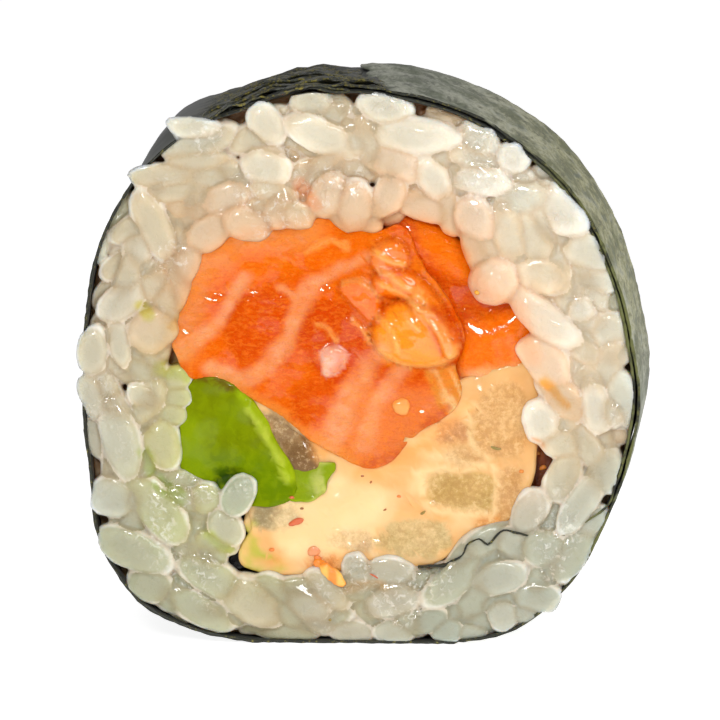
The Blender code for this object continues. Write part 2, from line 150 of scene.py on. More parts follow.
# %% [markdown]
# Shader arithmetic
#
# A finish is a formula, so it is written as one. Wire holds one socket and turns + - * into Math nodes;
# Finish holds one material, and its node method adds any other node: settings first, then the sockets.


# %% A wire that can be reckoned with
class Wire:
    """A socket that Python's arithmetic works on: each operator adds one Math node."""

    def __init__(self, finish, socket):
        self.finish = finish
        self.socket = socket

    def math(self, operation, first, second=0.0):
        return self.finish.node("ShaderNodeMath", {"operation": operation}, {0: first, 1: second})

    def __add__(self, other):
        return self.math("ADD", self, other)

    def __radd__(self, other):
        return self.math("ADD", other, self)

    def __sub__(self, other):
        return self.math("SUBTRACT", self, other)

    def __rsub__(self, other):
        return self.math("SUBTRACT", other, self)

    def __mul__(self, other):
        return self.math("MULTIPLY", self, other)

    def __rmul__(self, other):
        return self.math("MULTIPLY", other, self)

    def between(self, low, high):
        """0 up to low, 1 from high on, smooth on the way; low may be the larger one."""
        return self.finish.node(
            "ShaderNodeMapRange",
            {"interpolation_type": "SMOOTHSTEP"},
            {"Value": self, "From Min": low, "From Max": high},
        )


# %% [markdown]
# A finish
#
# Every material here is one Principled shader. What is the same all over it is set on the shader once;
# what changes over the surface is fed in through wires. Noises are sized in millimetres, so that a
# speck of nori is as large as a speck of nori.


# %% A finish and the nodes it can add
class Finish:
    """One material: its Principled shader, and the nodes that feed it."""

    def __init__(self, name, **constants):
        self.material = bpy.data.materials.new(name)
        self.material.use_nodes = True
        self.tree = self.material.node_tree
        self.shader = self.tree.nodes["Principled BSDF"]
        for socket, value in constants.items():
            self.shader.inputs[socket.replace("_", " ")].default_value = value

    def node(self, kind, settings=None, sockets=None, output=0):
        """Adds a node: its settings first, then a value or a wire for each named socket."""
        made = self.tree.nodes.new(kind)
        for name, value in (settings or {}).items():
            setattr(made, name, value)
        for key, value in (sockets or {}).items():
            if isinstance(value, Wire):
                self.tree.links.new(value.socket, made.inputs[key])
            else:
                made.inputs[key].default_value = value
        return Wire(self, made.outputs[output])

    def mix(self, factor, first, second, blend="MIX"):
        """Colour between two colours, each a wire or three numbers."""
        first, second = ((*c, 1.0) if isinstance(c, tuple) else c for c in (first, second))
        settings = {"data_type": "RGBA", "blend_type": blend}
        return self.node("ShaderNodeMix", settings, {0: factor, 6: first, 7: second}, output=2)

    def place(self, stretch=(1.0, 1.0, 1.0)):
        """The point on the piece, stretched along each axis."""
        where = self.node("ShaderNodeTexCoord", output=3)
        return self.node("ShaderNodeVectorMath", {"operation": "MULTIPLY"}, {0: where, 1: stretch})

    def noise(self, size, detail=2.0, rough=0.5, stretch=(1.0, 1.0, 1.0), twist=0.0):
        """Cloudy noise whose features are about this many millimetres across."""
        sockets = {
            "Vector": self.place(stretch), "Scale": 1 / (size * MM), "Detail": detail,
            "Roughness": rough, "Distortion": twist,
        }
        return self.node("ShaderNodeTexNoise", None, sockets)

    def painted(self, name, colour=False):
        """A value, or a colour, that the mesh carries at its points."""
        return self.node("ShaderNodeAttribute", {"attribute_name": name}, output=0 if colour else 2)

    def bump(self, height, depth):
        """Relief this many millimetres deep."""
        return self.node("ShaderNodeBump", None, {"Strength": 1.0, "Distance": depth * MM, "Height": height})

    def feed(self, **wires):
        """Links wires to the shader's sockets."""
        for socket, value in wires.items():
            target = self.shader.inputs[" ".join(word.capitalize() for word in socket.split("_"))]
            self.tree.links.new(value.socket, target)
        print(self.material.name, "finish has", len(self.tree.nodes), "nodes")
        return self.material


# %% The floor's finish
floor_finish = Finish("floor", Roughness=0.6, Emission_Color=(1.0, 1.0, 1.0, 1.0), Emission_Strength=0.85)
floor_tone = floor_finish.noise(60.0)
floor_colour = floor_finish.mix(floor_tone, paint(196, 196, 196), paint(200, 200, 200))
floor.data.materials.append(floor_finish.feed(base_color=floor_colour))

# %% [markdown]
# Lines on the cut face
#
# Everything in a roll follows a few drawn lines. A Catmull-Rom curve passes through the drawn points, so
# they can be read straight off the piece; the curve is then cut into even steps, and moving it sideways
# gives the inner layers.


# %% Curves and even steps
def ease(low, high, value):
    """0 below low, 1 above high, smooth between, for numbers or arrays."""
    t = np.clip((np.asarray(value, float) - low) / (high - low), 0, 1)
    return t * t * (3 - 2 * t)


def curve(points, spacing, closed=False):
    """Evenly spaced points along the smooth curve through the drawn points."""
    drawn = np.array(points, float)
    if closed:
        ring = np.vstack([drawn[-1], drawn, drawn[0], drawn[1]])
    else:
        ring = np.vstack([drawn[0], drawn, drawn[-1]])
    t = np.linspace(0, 1, 16, endpoint=False)[:, None]
    spans = []
    for a, b, c, d in zip(ring, ring[1:], ring[2:], ring[3:]):
        spans.append(0.5 * (
            2 * b + (c - a) * t + (2 * a - 5 * b + 4 * c - d) * t**2 + (3 * b - a - 3 * c + d) * t**3
        ))
    dense = np.vstack([*spans, drawn[:1] if closed else drawn[-1:]])
    return even(dense, spacing, closed)


def run(line):
    """Distance along a line to each of its points."""
    return np.concatenate([[0], np.cumsum(np.linalg.norm(np.diff(line, axis=0), axis=1))])


def even(line, spacing, closed=False):
    """The line cut into even steps; a closed one comes without its repeated last point."""
    lengths = run(line)
    count = max(3, round(lengths[-1] / spacing))
    goals = np.linspace(0, lengths[-1], count + 1)
    found = np.stack([np.interp(goals, lengths, line[:, k]) for k in range(line.shape[1])], axis=1)
    return found[:-1] if closed else found


quarter = curve([(10.0, 0.0), (7.07, 7.07), (0.0, 10.0)], 0.5)
print("a quarter circle through three points is", round(run(quarter)[-1], 1), "mm long")

# %% [markdown]
# Beside and inside a line
#
# A layer lies at a distance from another, a grain has to lie inside the wall, and a smear fades with the
# distance from its middle. All three are questions about a point and a line. They could be asked of
# Blender's curves, but arrays answer for a hundred thousand points at once.


# %% Beside and inside a line
def inward(line, closed=False):
    """Left-hand normals, which point into a loop drawn counter-clockwise."""
    if closed:
        along = np.roll(line, -1, axis=0) - np.roll(line, 1, axis=0)
    else:
        along = np.gradient(line, axis=0)
    along /= np.linalg.norm(along, axis=1, keepdims=True)
    return np.stack([-along[:, 1], along[:, 0]], axis=1)


def shifted(line, distance, closed=False):
    """The line moved to its left by a distance, or by one distance for each point."""
    return line + inward(line, closed) * np.reshape(distance, (-1, 1))


def inside(loop, spots):
    """Which spots lie inside a closed loop."""
    ax, az = loop.T
    bx, bz = np.roll(loop, -1, axis=0).T
    slope = (bx - ax) / np.where(az == bz, 1e-9, bz - az)
    found = np.zeros(len(spots), bool)
    for start in range(0, len(spots), 4000):
        x, z = spots[start : start + 4000].T[:, :, None]
        crosses = ((az > z) != (bz > z)) & (x < slope * (z - az) + ax)
        found[start : start + 4000] = crosses.sum(axis=1) % 2 == 1
    return found


def off_line(spots, path):
    """How far each spot is from a drawn line, and how far along the line its nearest point is, 0 to 1."""
    path = np.asarray(path, float)
    lengths = run(path)
    nearest = np.full(len(spots), np.inf)
    share = np.zeros(len(spots))
    for i, (a, b) in enumerate(zip(path, path[1:])):
        t = np.clip(((spots - a) @ (b - a)) / max((b - a) @ (b - a), 1e-9), 0, 1)
        away = np.linalg.norm(spots - a - t[:, None] * (b - a), axis=1)
        closer = away < nearest
        nearest[closer] = away[closer]
        share[closer] = ((lengths[i] + t * (lengths[i + 1] - lengths[i])) / lengths[-1])[closer]
    return nearest, share


print("moved 1 mm to its left it is", round(run(shifted(quarter, 1.0))[-1], 1), "mm long")

# %% [markdown]
# The drawn outlines
#
# These are the lines that a maker would draw first: the wall that the rice is pressed into, the end of
# the sheet that is rolled in, and the room for the filling. The wall counts the sheet's overlap, because
# the rice steps in by one layer where two layers of nori lie on it.

# %% The drawn outlines
# The wall of the roll, from the right end of its flat foot round to the left end
WALL = [
    (8.0, 0.0), (12.3, 0.9), (16.0, 3.6), (19.2, 8.2), (21.9, 14.6), (23.0, 20.5),
    (22.4, 25.5), (20.9, 31.2), (18.0, 36.9), (13.6, 41.4), (7.2, 44.8), (0.0, 46.3),
    (-7.5, 45.2), (-14.2, 42.6), (-18.8, 38.4), (-21.6, 33.4), (-22.9, 27.0), (-23.1, 20.0),
    (-22.5, 12.6), (-21.4, 7.3), (-18.4, 3.2), (-13.8, 0.9), (-9.0, 0.0),
]
# The end of the sheet that is tucked in between the bottom rice and the filling
TUCKED_END = [
    (4.6, 6.5), (6.6, 6.6), (8.2, 7.5), (8.8, 8.4), (9.6, 8.9), (10.4, 8.4), (11.2, 9.3), (12.0, 9.6),
    (13.5, 9.1), (15.6, 9.2), (17.0, 9.4), (19.0, 10.8), (20.4, 12.0),
]
# The room that the filling takes in the middle
FILLING = [
    (-15.4, 24.6), (-15.0, 20.6), (-14.8, 14.2), (-11.0, 12.6), (-10.3, 8.2), (-7.4, 6.4), (-2.0, 6.7),
    (2.2, 6.0), (6.2, 7.1), (9.4, 10.0), (12.6, 11.0), (14.6, 15.4), (13.8, 21.0), (13.8, 25.8),
    (12.0, 28.8), (9.6, 29.6), (7.8, 33.0), (4.6, 35.0), (1.6, 34.0), (-4.0, 34.4), (-9.6, 33.8),
    (-13.4, 31.4), (-14.6, 28.4),
]
NORI = 0.35  # thickness of one layer
LAYER_GAP = 0.1  # air between the layers where the sheet overlaps itself
JOIN_HEIGHT = 13.0  # where the tucked-in end leaves the wall, on the right
FLAP_END_X = -1.4  # where the outer end of the sheet lies, at the top
STEP_DOWN = 3.2  # length over which the layer below comes up to the surface

wall = curve(WALL, 0.45)
wall_run = run(wall)
join = int(np.argmax(wall[:, 1] > JOIN_HEIGHT))
flap = int(np.argmax((wall[:, 1] > 30) & (wall[:, 0] < FLAP_END_X)))
under = (NORI + LAYER_GAP) * ease(wall_run[join] - 2.6, wall_run[join], wall_run)
under *= 1 - ease(wall_run[flap] + 0.5, wall_run[flap] + STEP_DOWN, wall_run)
filling_loop = curve(FILLING, 0.5, closed=True)
print("the wall is", round(wall_run[-1]), "mm long")

# %% [markdown]
# Mesh helpers
#
# Small meshes are numpy arrays of points and triangles until the last moment, because shaping an array is
# one line of arithmetic. These helpers carry them into Blender and back, in millimetres.


# %% Mesh helpers
def read_mesh(mesh):
    """Points in millimetres and triangles of a Blender mesh, as arrays."""
    mesh.calc_loop_triangles()
    points = np.empty(len(mesh.vertices) * 3)
    mesh.vertices.foreach_get("co", points)
    corners = np.empty(len(mesh.loop_triangles) * 3, np.int32)
    mesh.loop_triangles.foreach_get("vertices", corners)
    return points.reshape(-1, 3) / MM, corners.reshape(-1, 3)


def write_mesh(name, points, faces):
    """A new object from points in millimetres and faces with the same number of corners each."""
    faces = np.asarray(faces, np.int32)
    mesh = bpy.data.meshes.new(name)
    mesh.vertices.add(len(points))
    mesh.vertices.foreach_set("co", (np.asarray(points) * MM).astype(np.float32).ravel())
    mesh.loops.add(faces.size)
    mesh.loops.foreach_set("vertex_index", faces.ravel())
    mesh.polygons.add(len(faces))
    mesh.polygons.foreach_set("loop_start", np.arange(0, faces.size, faces.shape[1], dtype=np.int32))
    mesh.update(calc_edges=True)
    mesh.validate()
    mesh.shade_smooth()
    made = bpy.data.objects.new(name, mesh)
    bpy.context.scene.collection.objects.link(made)
    return made


def poured(parts):
    """Several (points, triangles) as one."""
    points = np.vstack([part[0] for part in parts])
    starts = np.cumsum([0] + [len(part[0]) for part in parts[:-1]])
    return points, np.vstack([part[1] + start for part, start in zip(parts, starts)])


# %% [markdown]
# Fusing
#
# Cooked grains stick together, and so do the leaves of a wet piece of fish. Joining meshes with Booleans
# fails where hundreds of them touch. So they are poured into one mesh and remeshed on a voxel grid, which
# leaves one closed skin, smoothed a little and thinned out to what the piece may cost.


# %% Fusing
def settle(made):
    """The evaluated mesh becomes the object's own."""
    bpy.context.view_layer.update()
    mesh = bpy.data.meshes.new_from_object(made.evaluated_get(bpy.context.evaluated_depsgraph_get()))
    old = made.data
    made.modifiers.clear()
    made.data = mesh
    bpy.data.meshes.remove(old)
    made.data.shade_smooth()


def fused(name, parts, voxel, smoothing=2, triangles=100000):
    """One closed skin round all the parts."""
    made = write_mesh(name, *poured(parts))
    remesh = made.modifiers.new("fuse", "REMESH")
    remesh.mode = "VOXEL"
    remesh.voxel_size = voxel * MM * 1.0
    smooth = made.modifiers.new("soften", "SMOOTH")
    smooth.factor = 0.5
    smooth.iterations = smoothing
    settle(made)
    count = 2 * len(made.data.polygons)
    if count > triangles:
        thin = made.modifiers.new("thin_out", "DECIMATE")
        thin.ratio = triangles / count
        settle(made)
    print(name, "has", len(made.data.polygons), "faces")
    return made


# %% [markdown]
# Balls and plates
#
# Two shapes start nearly everything: a ball, which becomes a grain or a drop, and a plate with a drawn
# outline, which becomes a slice. The plate comes from a filled curve, because a curve fills an outline
# with holes in it without any work.


# %% Balls and plates
def ball(subdivisions):
    """Points and triangles of a sphere of radius 1."""
    shaper = bmesh.new()
    bmesh.ops.create_icosphere(shaper, subdivisions=subdivisions, radius=1.0)
    mesh = bpy.data.meshes.new("ball")
    shaper.to_mesh(mesh)
    shaper.free()
    points, triangles = read_mesh(mesh)
    bpy.data.meshes.remove(mesh)
    return points * MM, triangles


def plate(loops, near, far):
    """A flat block with these outlines, holes included, from one depth to the other."""
    outline = bpy.data.curves.new("outline", "CURVE")
    outline.dimensions = "2D"
    outline.fill_mode = "BOTH"
    outline.extrude = (far - near) / 2 * MM
    for loop in loops:
        line = outline.splines.new("POLY")
        line.points.add(len(loop) - 1)
        for point, (x, z) in zip(line.points, loop):
            point.co = (x * MM, z * MM, 0.0, 1.0)
        line.use_cyclic_u = True
    flat = bpy.data.objects.new("outline", outline)
    bpy.context.scene.collection.objects.link(flat)
    bpy.context.view_layer.update()
    mesh = bpy.data.meshes.new_from_object(flat.evaluated_get(bpy.context.evaluated_depsgraph_get()))
    shaper = bmesh.new()
    shaper.from_mesh(mesh)
    bmesh.ops.remove_doubles(shaper, verts=shaper.verts, dist=1e-6)
    bmesh.ops.recalc_face_normals(shaper, faces=shaper.faces)
    shaper.to_mesh(mesh)
    shaper.free()
    points, triangles = read_mesh(mesh)
    bpy.data.objects.remove(flat)
    bpy.data.meshes.remove(mesh)
    return np.stack([points[:, 0], (near + far) / 2 - points[:, 2], points[:, 1]], axis=1), triangles


print("a ball of level 4 has", len(ball(4)[1]), "triangles")

# %% [markdown]
# Values on points, and noise
#
# A drawing is worked out once for each point of the mesh and stored there under a name; the finish reads
# it by that name. Two noises serve for shapes: ripple is soft, as a bent sheet is, and mottle is lumpy,
# as torn or wet food is.


# %% Values on points, and noise
def carry(made, name, values):
    """Writes one value, or one colour, for each point of the mesh, for the finish to read."""
    values = np.asarray(values, np.float32)
    if values.ndim == 1:
        made.data.attributes.new(name, "FLOAT", "POINT").data.foreach_set("value", values)
    else:
        rgba = np.concatenate([values, np.ones((len(values), 1), np.float32)], axis=1)
        made.data.attributes.new(name, "FLOAT_COLOR", "POINT").data.foreach_set("color", rgba.ravel())


# %% Two noises
def ripple(points, size, seed, turns=5):
    """Smooth noise about -1 to 1 from a few crossing waves, whose crests are about this far apart."""
    draw = np.random.default_rng(seed)
    total = np.zeros(len(points))
    for _ in range(turns):
        direction = draw.normal(size=points.shape[1])
        direction *= 2 * math.pi / size * draw.uniform(0.7, 1.4) / np.linalg.norm(direction)
        total += np.sin(points @ direction + draw.uniform(0, 2 * math.pi))
    return total / math.sqrt(turns)


def mottle(points, size, seed):
    """Value noise from -1 to 1: a random number on each corner of a grid of this size, blended between."""
    q = points / size + seed * 7.31
    corner = np.floor(q)
    f = q - corner
    f = f * f * (3 - 2 * f)
    total = np.zeros(len(points))
    for dx in (0, 1):
        for dy in (0, 1):
            for dz in (0, 1):
                at = corner + (dx, dy, dz)
                value = np.sin(at @ np.array([127.1, 311.7, 74.7]) + seed) * 43758.5453
                share = np.prod(np.where((dx, dy, dz), f, 1 - f), axis=1)
                total += share * (value - np.floor(value))
    return 2 * total - 1


cube = np.indices((6, 6, 6)).reshape(3, -1).T * 0.37
print("mottle runs from", round(mottle(cube, 1.0, 1).min(), 2), "to", round(mottle(cube, 1.0, 1).max(), 2))

# %% [markdown]
# Dressing
#
# A piece is dressed once: it gets its material and the body that carries it, and the imported solids that
# it stands for are hidden, so that the piece is seen instead.


# %% Dressing
def dress(made, finish, slot, *nodes):
    """Gives a piece its finish and its place on the roll, and hides the solids that it stands for."""
    made.data.materials.clear()
    made.data.materials.append(finish)
    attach(made, "root")
    if nodes:
        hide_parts(*nodes)
    return made


# %% [markdown]
# The nori sheet
#
# One toasted sheet goes from its tucked-in end, once round the rice and under the foot, and over itself
# to the top. It could be an extruded line, but then its edge would be a clean ribbon: real nori is torn
# by the knife, wrinkled by the damp rice and thin enough to crinkle. So the sheet is a grid of points,
# less than half a millimetre apart, pushed along its own normal by waves of several sizes, with a
# thickness that varies. At the upper left, where the damp sheet has crumpled, narrow folds lie on it.

# %% The nori sheet's course
SHEET_STEP = 0.4
CRUMPLE_START = 0.5  # past the end of the flap
CRUMPLE_END = 13.0
SNUG = 0.14  # air under the outer turn
LOOSE_SPOT = (-15.8, 41.2)  # where the sheet has come off the rice
LOOSE_SPREAD = 11.0
OUTER_TURN = 60.0  # length of the outer turn, where the dry sheet waves most
SHEET_HALF = 0.115  # half the thickness of damp nori


def sheet_course():
    """The middle line of the sheet in four parts: tucked end, first turn, foot and overlap."""
    first_turn = shifted(wall, under + NORI / 2)[join:]
    foot = even(np.array([(WALL[-1][0] + 0.4, NORI / 2), (WALL[0][0] - 0.4, NORI / 2)]), 0.45)
    overlap = shifted(wall, NORI / 2 + SNUG)[: flap + 1]
    tucked = curve([*TUCKED_END, tuple(first_turn[0])], 0.3)[:-1]
    return tucked, first_turn, foot, overlap


# %% [markdown]
# A ribbon
#
# The sheet and each of its folds are the same thing: a line swept from one depth to another, as two skins
# a thickness apart. The rim is closed all round, since an open edge would show its hollow inside. Three
# small functions say how thick it is, how far it stands out, and where its two rims lie.


# %% A ribbon
def ribbon(line, half_thickness, stand_out, near, far, name, reach=None):
    """A closed sheet along a line. Reach may draw the line's end back by its own amount at each depth."""
    rows = []
    count = len(line)
    lengths = run(line)
    deep = np.mean(far(line) - near(line))
    depths = np.linspace(0, 1, max(2, round(deep / SHEET_STEP)) + 1)
    for share in depths:
        at = lengths if reach is None else reach(lengths, share)
        here = np.stack([np.interp(at, lengths, line[:, k]) for k in (0, 1)], axis=1)
        normal = inward(line)
        normal = np.stack([np.interp(at, lengths, normal[:, k]) for k in (0, 1)], axis=1)
        y = near(line) * (1 - share) + far(line) * share
        out = stand_out(here, y, share)
        middle = here - normal * out[:, None]
        half = half_thickness(here, y, share)[:, None]
        for side in (-1, 1):
            skin = middle + normal * half * side
            rows.append(np.stack([skin[:, 0], y, np.maximum(skin[:, 1], 0.0)], axis=1))
    points = np.vstack(rows)
    outer = np.arange(len(depths)) * 2
    faces = []
    i = np.arange(count - 1)
    for step in range(len(depths) - 1):
        for side in (0, 1):
            a = (outer[step] + side) * count + i
            b = (outer[step + 1] + side) * count + i
            quad = np.stack([a, a + 1, b + 1, b], axis=1)
            faces.append(quad if side == 0 else quad[:, ::-1])
    for step, turn in ((0, 1), (len(depths) - 1, -1)):
        a = outer[step] * count + i
        b = (outer[step] + 1) * count + i
        faces.append(np.stack([a, b, b + 1, a + 1], axis=1)[:, ::turn])
    k = np.arange(len(depths) - 1)
    for end, turn in ((0, -1), (count - 1, 1)):
        a = outer[k] * count + end
        b = (outer[k] + 1) * count + end
        c = (outer[k + 1] + 1) * count + end
        d = outer[k + 1] * count + end
        faces.append(np.stack([a, b, c, d], axis=1)[:, ::turn])
    return write_mesh(name, points, np.vstack(faces))


# %% Where the sheet lies
tucked, first_turn, foot, overlap = sheet_course()
course = np.vstack([tucked, first_turn, foot, overlap])
course_run = run(course)
on_wall = np.arange(len(course)) >= len(tucked)
flap_run = course_run[-1]
crumple_from = course_run[len(tucked) + flap - join] + CRUMPLE_START
crumple_to = crumple_from + CRUMPLE_END
print("the sheet is", round(course_run[-1]), "mm long")


# %% [markdown]
# The nori sheet's shape
#
# Dry nori lies in slow waves, and damp nori clings and crinkles. The waves leave the foot alone, where
# the weight of the piece presses the sheet flat. At the upper left the sheet has come loose from the rice
# and bulges, and the end of the outer turn lies slanting over the top, as it was cut by hand.


# %% The nori sheet's shape
def sheet_waves(line, y, share):
    """How far the sheet stands out from its course."""
    spots = np.column_stack([line, y])
    free = ease(0.8, 5.0, line[:, 1]) * on_wall
    waves = 0.06 * ripple(spots, 9.0, 3) + 0.015 * ripple(spots, 3.0, 4)
    crumple = ease(crumple_from, crumple_from + 3, course_run) * (
        1 - ease(crumple_to - 3, crumple_to, course_run)
    )
    laid = spots * (0.5, 1.0, 1.3)
    waves += crumple * (0.34 * mottle(laid, 1.9, 8) + 0.2 * mottle(laid, 0.9, 9) + 0.15)
    loose = np.exp(-((line - LOOSE_SPOT) ** 2).sum(axis=1) / LOOSE_SPREAD)
    waves += 1.0 * loose * ease(0.0, 0.3, share)
    waves += 0.09 * (1 + mottle(spots * (1.0, 0.4, 1.0), 2.6, 10)) * (course_run > flap_run - OUTER_TURN)
    return waves * free + (0.05 * ripple(spots, 1.4, 5) + 0.1 * mottle(spots, 0.8, 12)) * ~on_wall


def sheet_half(line, y, share):
    """Half the sheet's thickness, ragged at the two cut rims, thin at the flap's end."""
    spots = np.column_stack([line, y])
    rim = math.exp(-min(share, 1 - share) * 40)
    ends = 1 - 0.55 * ease(flap_run - 1.5, flap_run, course_run)
    ends = ends * (1 - 0.35 * ~on_wall)
    return SHEET_HALF * ends * (1 + 0.1 * ripple(spots, 1.6, 6) + 0.45 * rim * mottle(spots, 0.45, 7))


def flap_reach(lengths, share):
    """The flap's end lies slanting over the top: further back on the near side than on the far side."""
    slant = 3.4 * (1 - share) ** 1.3 + 0.3 * math.sin(11 * share) + 0.15 * math.sin(29 * share)
    return lengths - slant * ease(flap_run - 9, flap_run, lengths)


def torn(face, out, seed):
    """The depth of the cut rim at each point along the sheet; the tucked end stands a little further out."""
    def depth(line):
        ragged = 0.1 * ripple(line, 1.3, seed) + 0.1 * mottle(line @ np.eye(2, 3), 0.5, seed + 1)
        return face + out * (ragged + 0.12 * (np.arange(len(line)) < len(tucked)))
    return depth


# %% The nori sheet
nori = ribbon(
    course, sheet_half, sheet_waves, torn(FRONT, -1, 21), torn(BACK, 1, 23), "nori_sheet", flap_reach
)
sheet_rows = len(nori.data.vertices) // len(course)
along = np.tile(course_run, sheet_rows)
nori_points, _ = read_mesh(nori.data)
outer_skin = np.tile(np.repeat([1.0, 0.0], len(course)), sheet_rows // 2)
on_flap = (along > course_run[len(tucked) + len(first_turn) + len(foot) - 1]).astype(float)
carry(nori, "outside", outer_skin)
carry(nori, "flap", on_flap)
carry(nori, "rim", np.exp(-np.minimum(nori_points[:, 1] - FRONT, BACK - nori_points[:, 1]).clip(0) / 0.3))
carry(nori, "toward_upper_right", ease(4.0, 19.0, nori_points[:, 0]) * ease(16.0, 30.0, nori_points[:, 2]))
carry(nori, "light_side", ease(12.0, 20.0, nori_points[:, 0]))
carry(nori, "damp", 1 - ease(-13.0, -10.0, nori_points[:, 0]))
crumpled = ease(crumple_from, crumple_from + 2, along) * (1 - ease(crumple_to - 2, crumple_to, along))
carry(nori, "crumpled", crumpled * outer_skin)
print("nori sheet has", len(nori.data.polygons), "faces")

# %% [markdown]
# The crumpled folds
#
# At the upper left the damp end of the sheet has folded up on itself in thin overlapping pleats, glossy and
# nearly black, with hollows between them. Each pleat is a short ribbon of the same sheet: it leaves the wall,
# stands out, curls at its near rim and comes back down, and the pleats lie over each other like roof tiles.

# %% The crumpled folds
# Each fold is (first x, last x on the wall, how far it stands out, near side, far side), in mm from the face
FOLDS = [
    (-13.0, -7.6, 0.35, 0.1, 6.0), (-11.2, -3.8, 0.55, 1.0, 9.0), (-8.4, -0.6, 0.35, -0.1, 4.2),
    (-6.4, 2.4, 0.75, 1.6, 10.0), (-3.8, 2.8, 0.55, 0.2, 3.4), (-12.0, -9.0, 0.6, 1.8, 4.6),
    (-9.4, -5.0, 0.8, 3.0, 7.4), (-11.6, -4.0, 0.7, 7.0, 14.0), (-8.0, -0.8, 0.7, 9.5, 17.0),
    (-5.0, 1.4, 0.6, 5.5, 12.0), (-10.6, -5.6, 0.6, 12.0, 18.5), (-13.6, -10.2, 0.4, 4.0, 9.0),
]


def fold(index, first, last, stand, near, far):
    """One pleat of the sheet."""
    spots = first_turn[(first_turn[:, 1] > 30) & (first_turn[:, 0] > first) & (first_turn[:, 0] < last)]
    line = even(spots, 0.25)
    share_along = run(line) / run(line)[-1]
    arch = np.sqrt(np.clip(np.sin(math.pi * np.clip(share_along, 0.001, 0.999)), 0, 1))

    def out(here, y, share):
        at = np.column_stack([here, y])
        curl = 1 - 0.75 * share**0.7
        crinkle = 0.3 * mottle(at * (0.7, 1.0, 1.2), 1.0, 80 + index) + 0.14 * mottle(at, 0.45, 90 + index)
        return arch * (stand * curl + crinkle) + 0.08

    def half(here, y, share):
        return 0.09 + 0.03 * mottle(np.column_stack([here, y]), 0.5, 100 + index)

    def side(depth, seed):
        return lambda here: FRONT + depth + 0.35 * mottle(here @ np.eye(2, 3), 1.2, seed)

    return ribbon(line, half, out, side(near, 110 + index), side(far, 120 + index), f"nori_fold_{index}")


folds = [fold(index, *place) for index, place in enumerate(FOLDS)]
print(len(folds), "folds with", sum(len(made.data.polygons) for made in folds), "faces")

# %% [markdown]
# The finish of nori
#
# Nori is almost black with green in it, pressed from shreds of weed, so it is mottled at every scale:
# cloudy thick and thin places, fine crossing shreds, and here and there a paler speck. The outer skin
# is dry and dull: its grey-green is lightened as a painted sheen, and yellower towards the upper right,
# while the damp first turn stays dark with a soft gloss. Where the knife went through, olive crumbs of
# the sheet show.


# %% The finish of nori
def nori_finish(name, folded=False):
    """The skin of the sheet, or of the wet folds at the upper left."""
    finish = Finish(
        name, IOR=1.45, Specular_IOR_Level=0.5, Coat_Roughness=0.34, Sheen_Weight=0.08, Sheen_Roughness=0.45
    )
    clouds = finish.noise(2.2, detail=5.0, rough=0.65, stretch=(1.0, 0.35, 1.0))
    patches = finish.noise(1.1, detail=5.0, rough=0.7, stretch=(1.0, 0.3, 1.0), twist=0.5)
    shreds = finish.noise(0.4, detail=4.0, rough=0.7, stretch=(1.0, 0.3, 1.0), twist=0.5)
    fleck = finish.noise(0.3, detail=3.0, rough=0.75)
    dark = finish.mix(clouds.between(0.35, 0.7), paint(20, 23, 15), paint(40, 44, 28))
    flecked = finish.mix(fleck.between(0.48, 0.6) * patches.between(0.4, 0.54), dark, paint(124, 114, 40))
    flecked = finish.mix(patches.between(0.42, 0.34) * 0.8, flecked, paint(70, 74, 58))
    if folded:
        return finish.feed(
            base_color=flecked,
            roughness=0.25 + 0.4 * fleck,
            coat_weight=0.5 * patches.between(0.6, 0.4),
            normal=finish.bump(fleck * 0.5 + patches, 0.3),
        )
    crumpled = finish.painted("crumpled")
    flap_skin = finish.painted("flap") * finish.painted("outside")
    toward_upper_right = finish.painted("toward_upper_right")
    damp = finish.painted("damp")
    # The outer turn's grey-green mottling is lightened as a painted sheen, yellower towards the upper right
    dry_skin_and_sheen = finish.mix(clouds.between(0.38, 0.6), paint(100, 106, 84), paint(172, 173, 156))
    yellower_and_sheen = finish.mix(clouds.between(0.38, 0.6), paint(120, 120, 64), paint(194, 190, 138))
    dry_skin_and_sheen = finish.mix(toward_upper_right * patches.between(0.3, 0.6), dry_skin_and_sheen, yellower_and_sheen)
    dry_skin_and_sheen = finish.mix(patches.between(0.46, 0.66) * 0.75, dry_skin_and_sheen, paint(56, 62, 44))
    dry_skin_and_sheen = finish.mix(shreds.between(0.46, 0.7) * 0.4, dry_skin_and_sheen, paint(66, 72, 50))
    colour = finish.mix(flap_skin, finish.mix(crumpled, dark, flecked), dry_skin_and_sheen)
    rim = finish.painted("rim").between(0.45, 0.85)
    olive = fleck.between(0.54, 0.64) * patches.between(0.42, 0.58)
    cut = finish.mix(olive, paint(26, 28, 16), paint(120, 112, 48))
    cut = finish.mix(finish.painted("light_side") * clouds.between(0.4, 0.55), cut, paint(96, 98, 50))
    colour = finish.mix(rim, colour, cut)
    height = clouds * 0.4 + shreds * (1 - damp) * 0.6 + (fleck + patches) * crumpled * 2.0
    return finish.feed(
        base_color=colour,
        roughness=0.42 + 0.16 * flap_skin + 0.25 * shreds * (1 - damp),
        coat_weight=(0.26 - 0.18 * flap_skin) * (0.4 + 0.6 * damp) * (1.0 - rim),
        normal=finish.bump(height, 0.09),
    )


dress(nori, nori_finish("nori"), "nori", "nori")
folded_skin = nori_finish("folded_nori", folded=True)
for made in folds:
    dress(made, folded_skin, "nori")
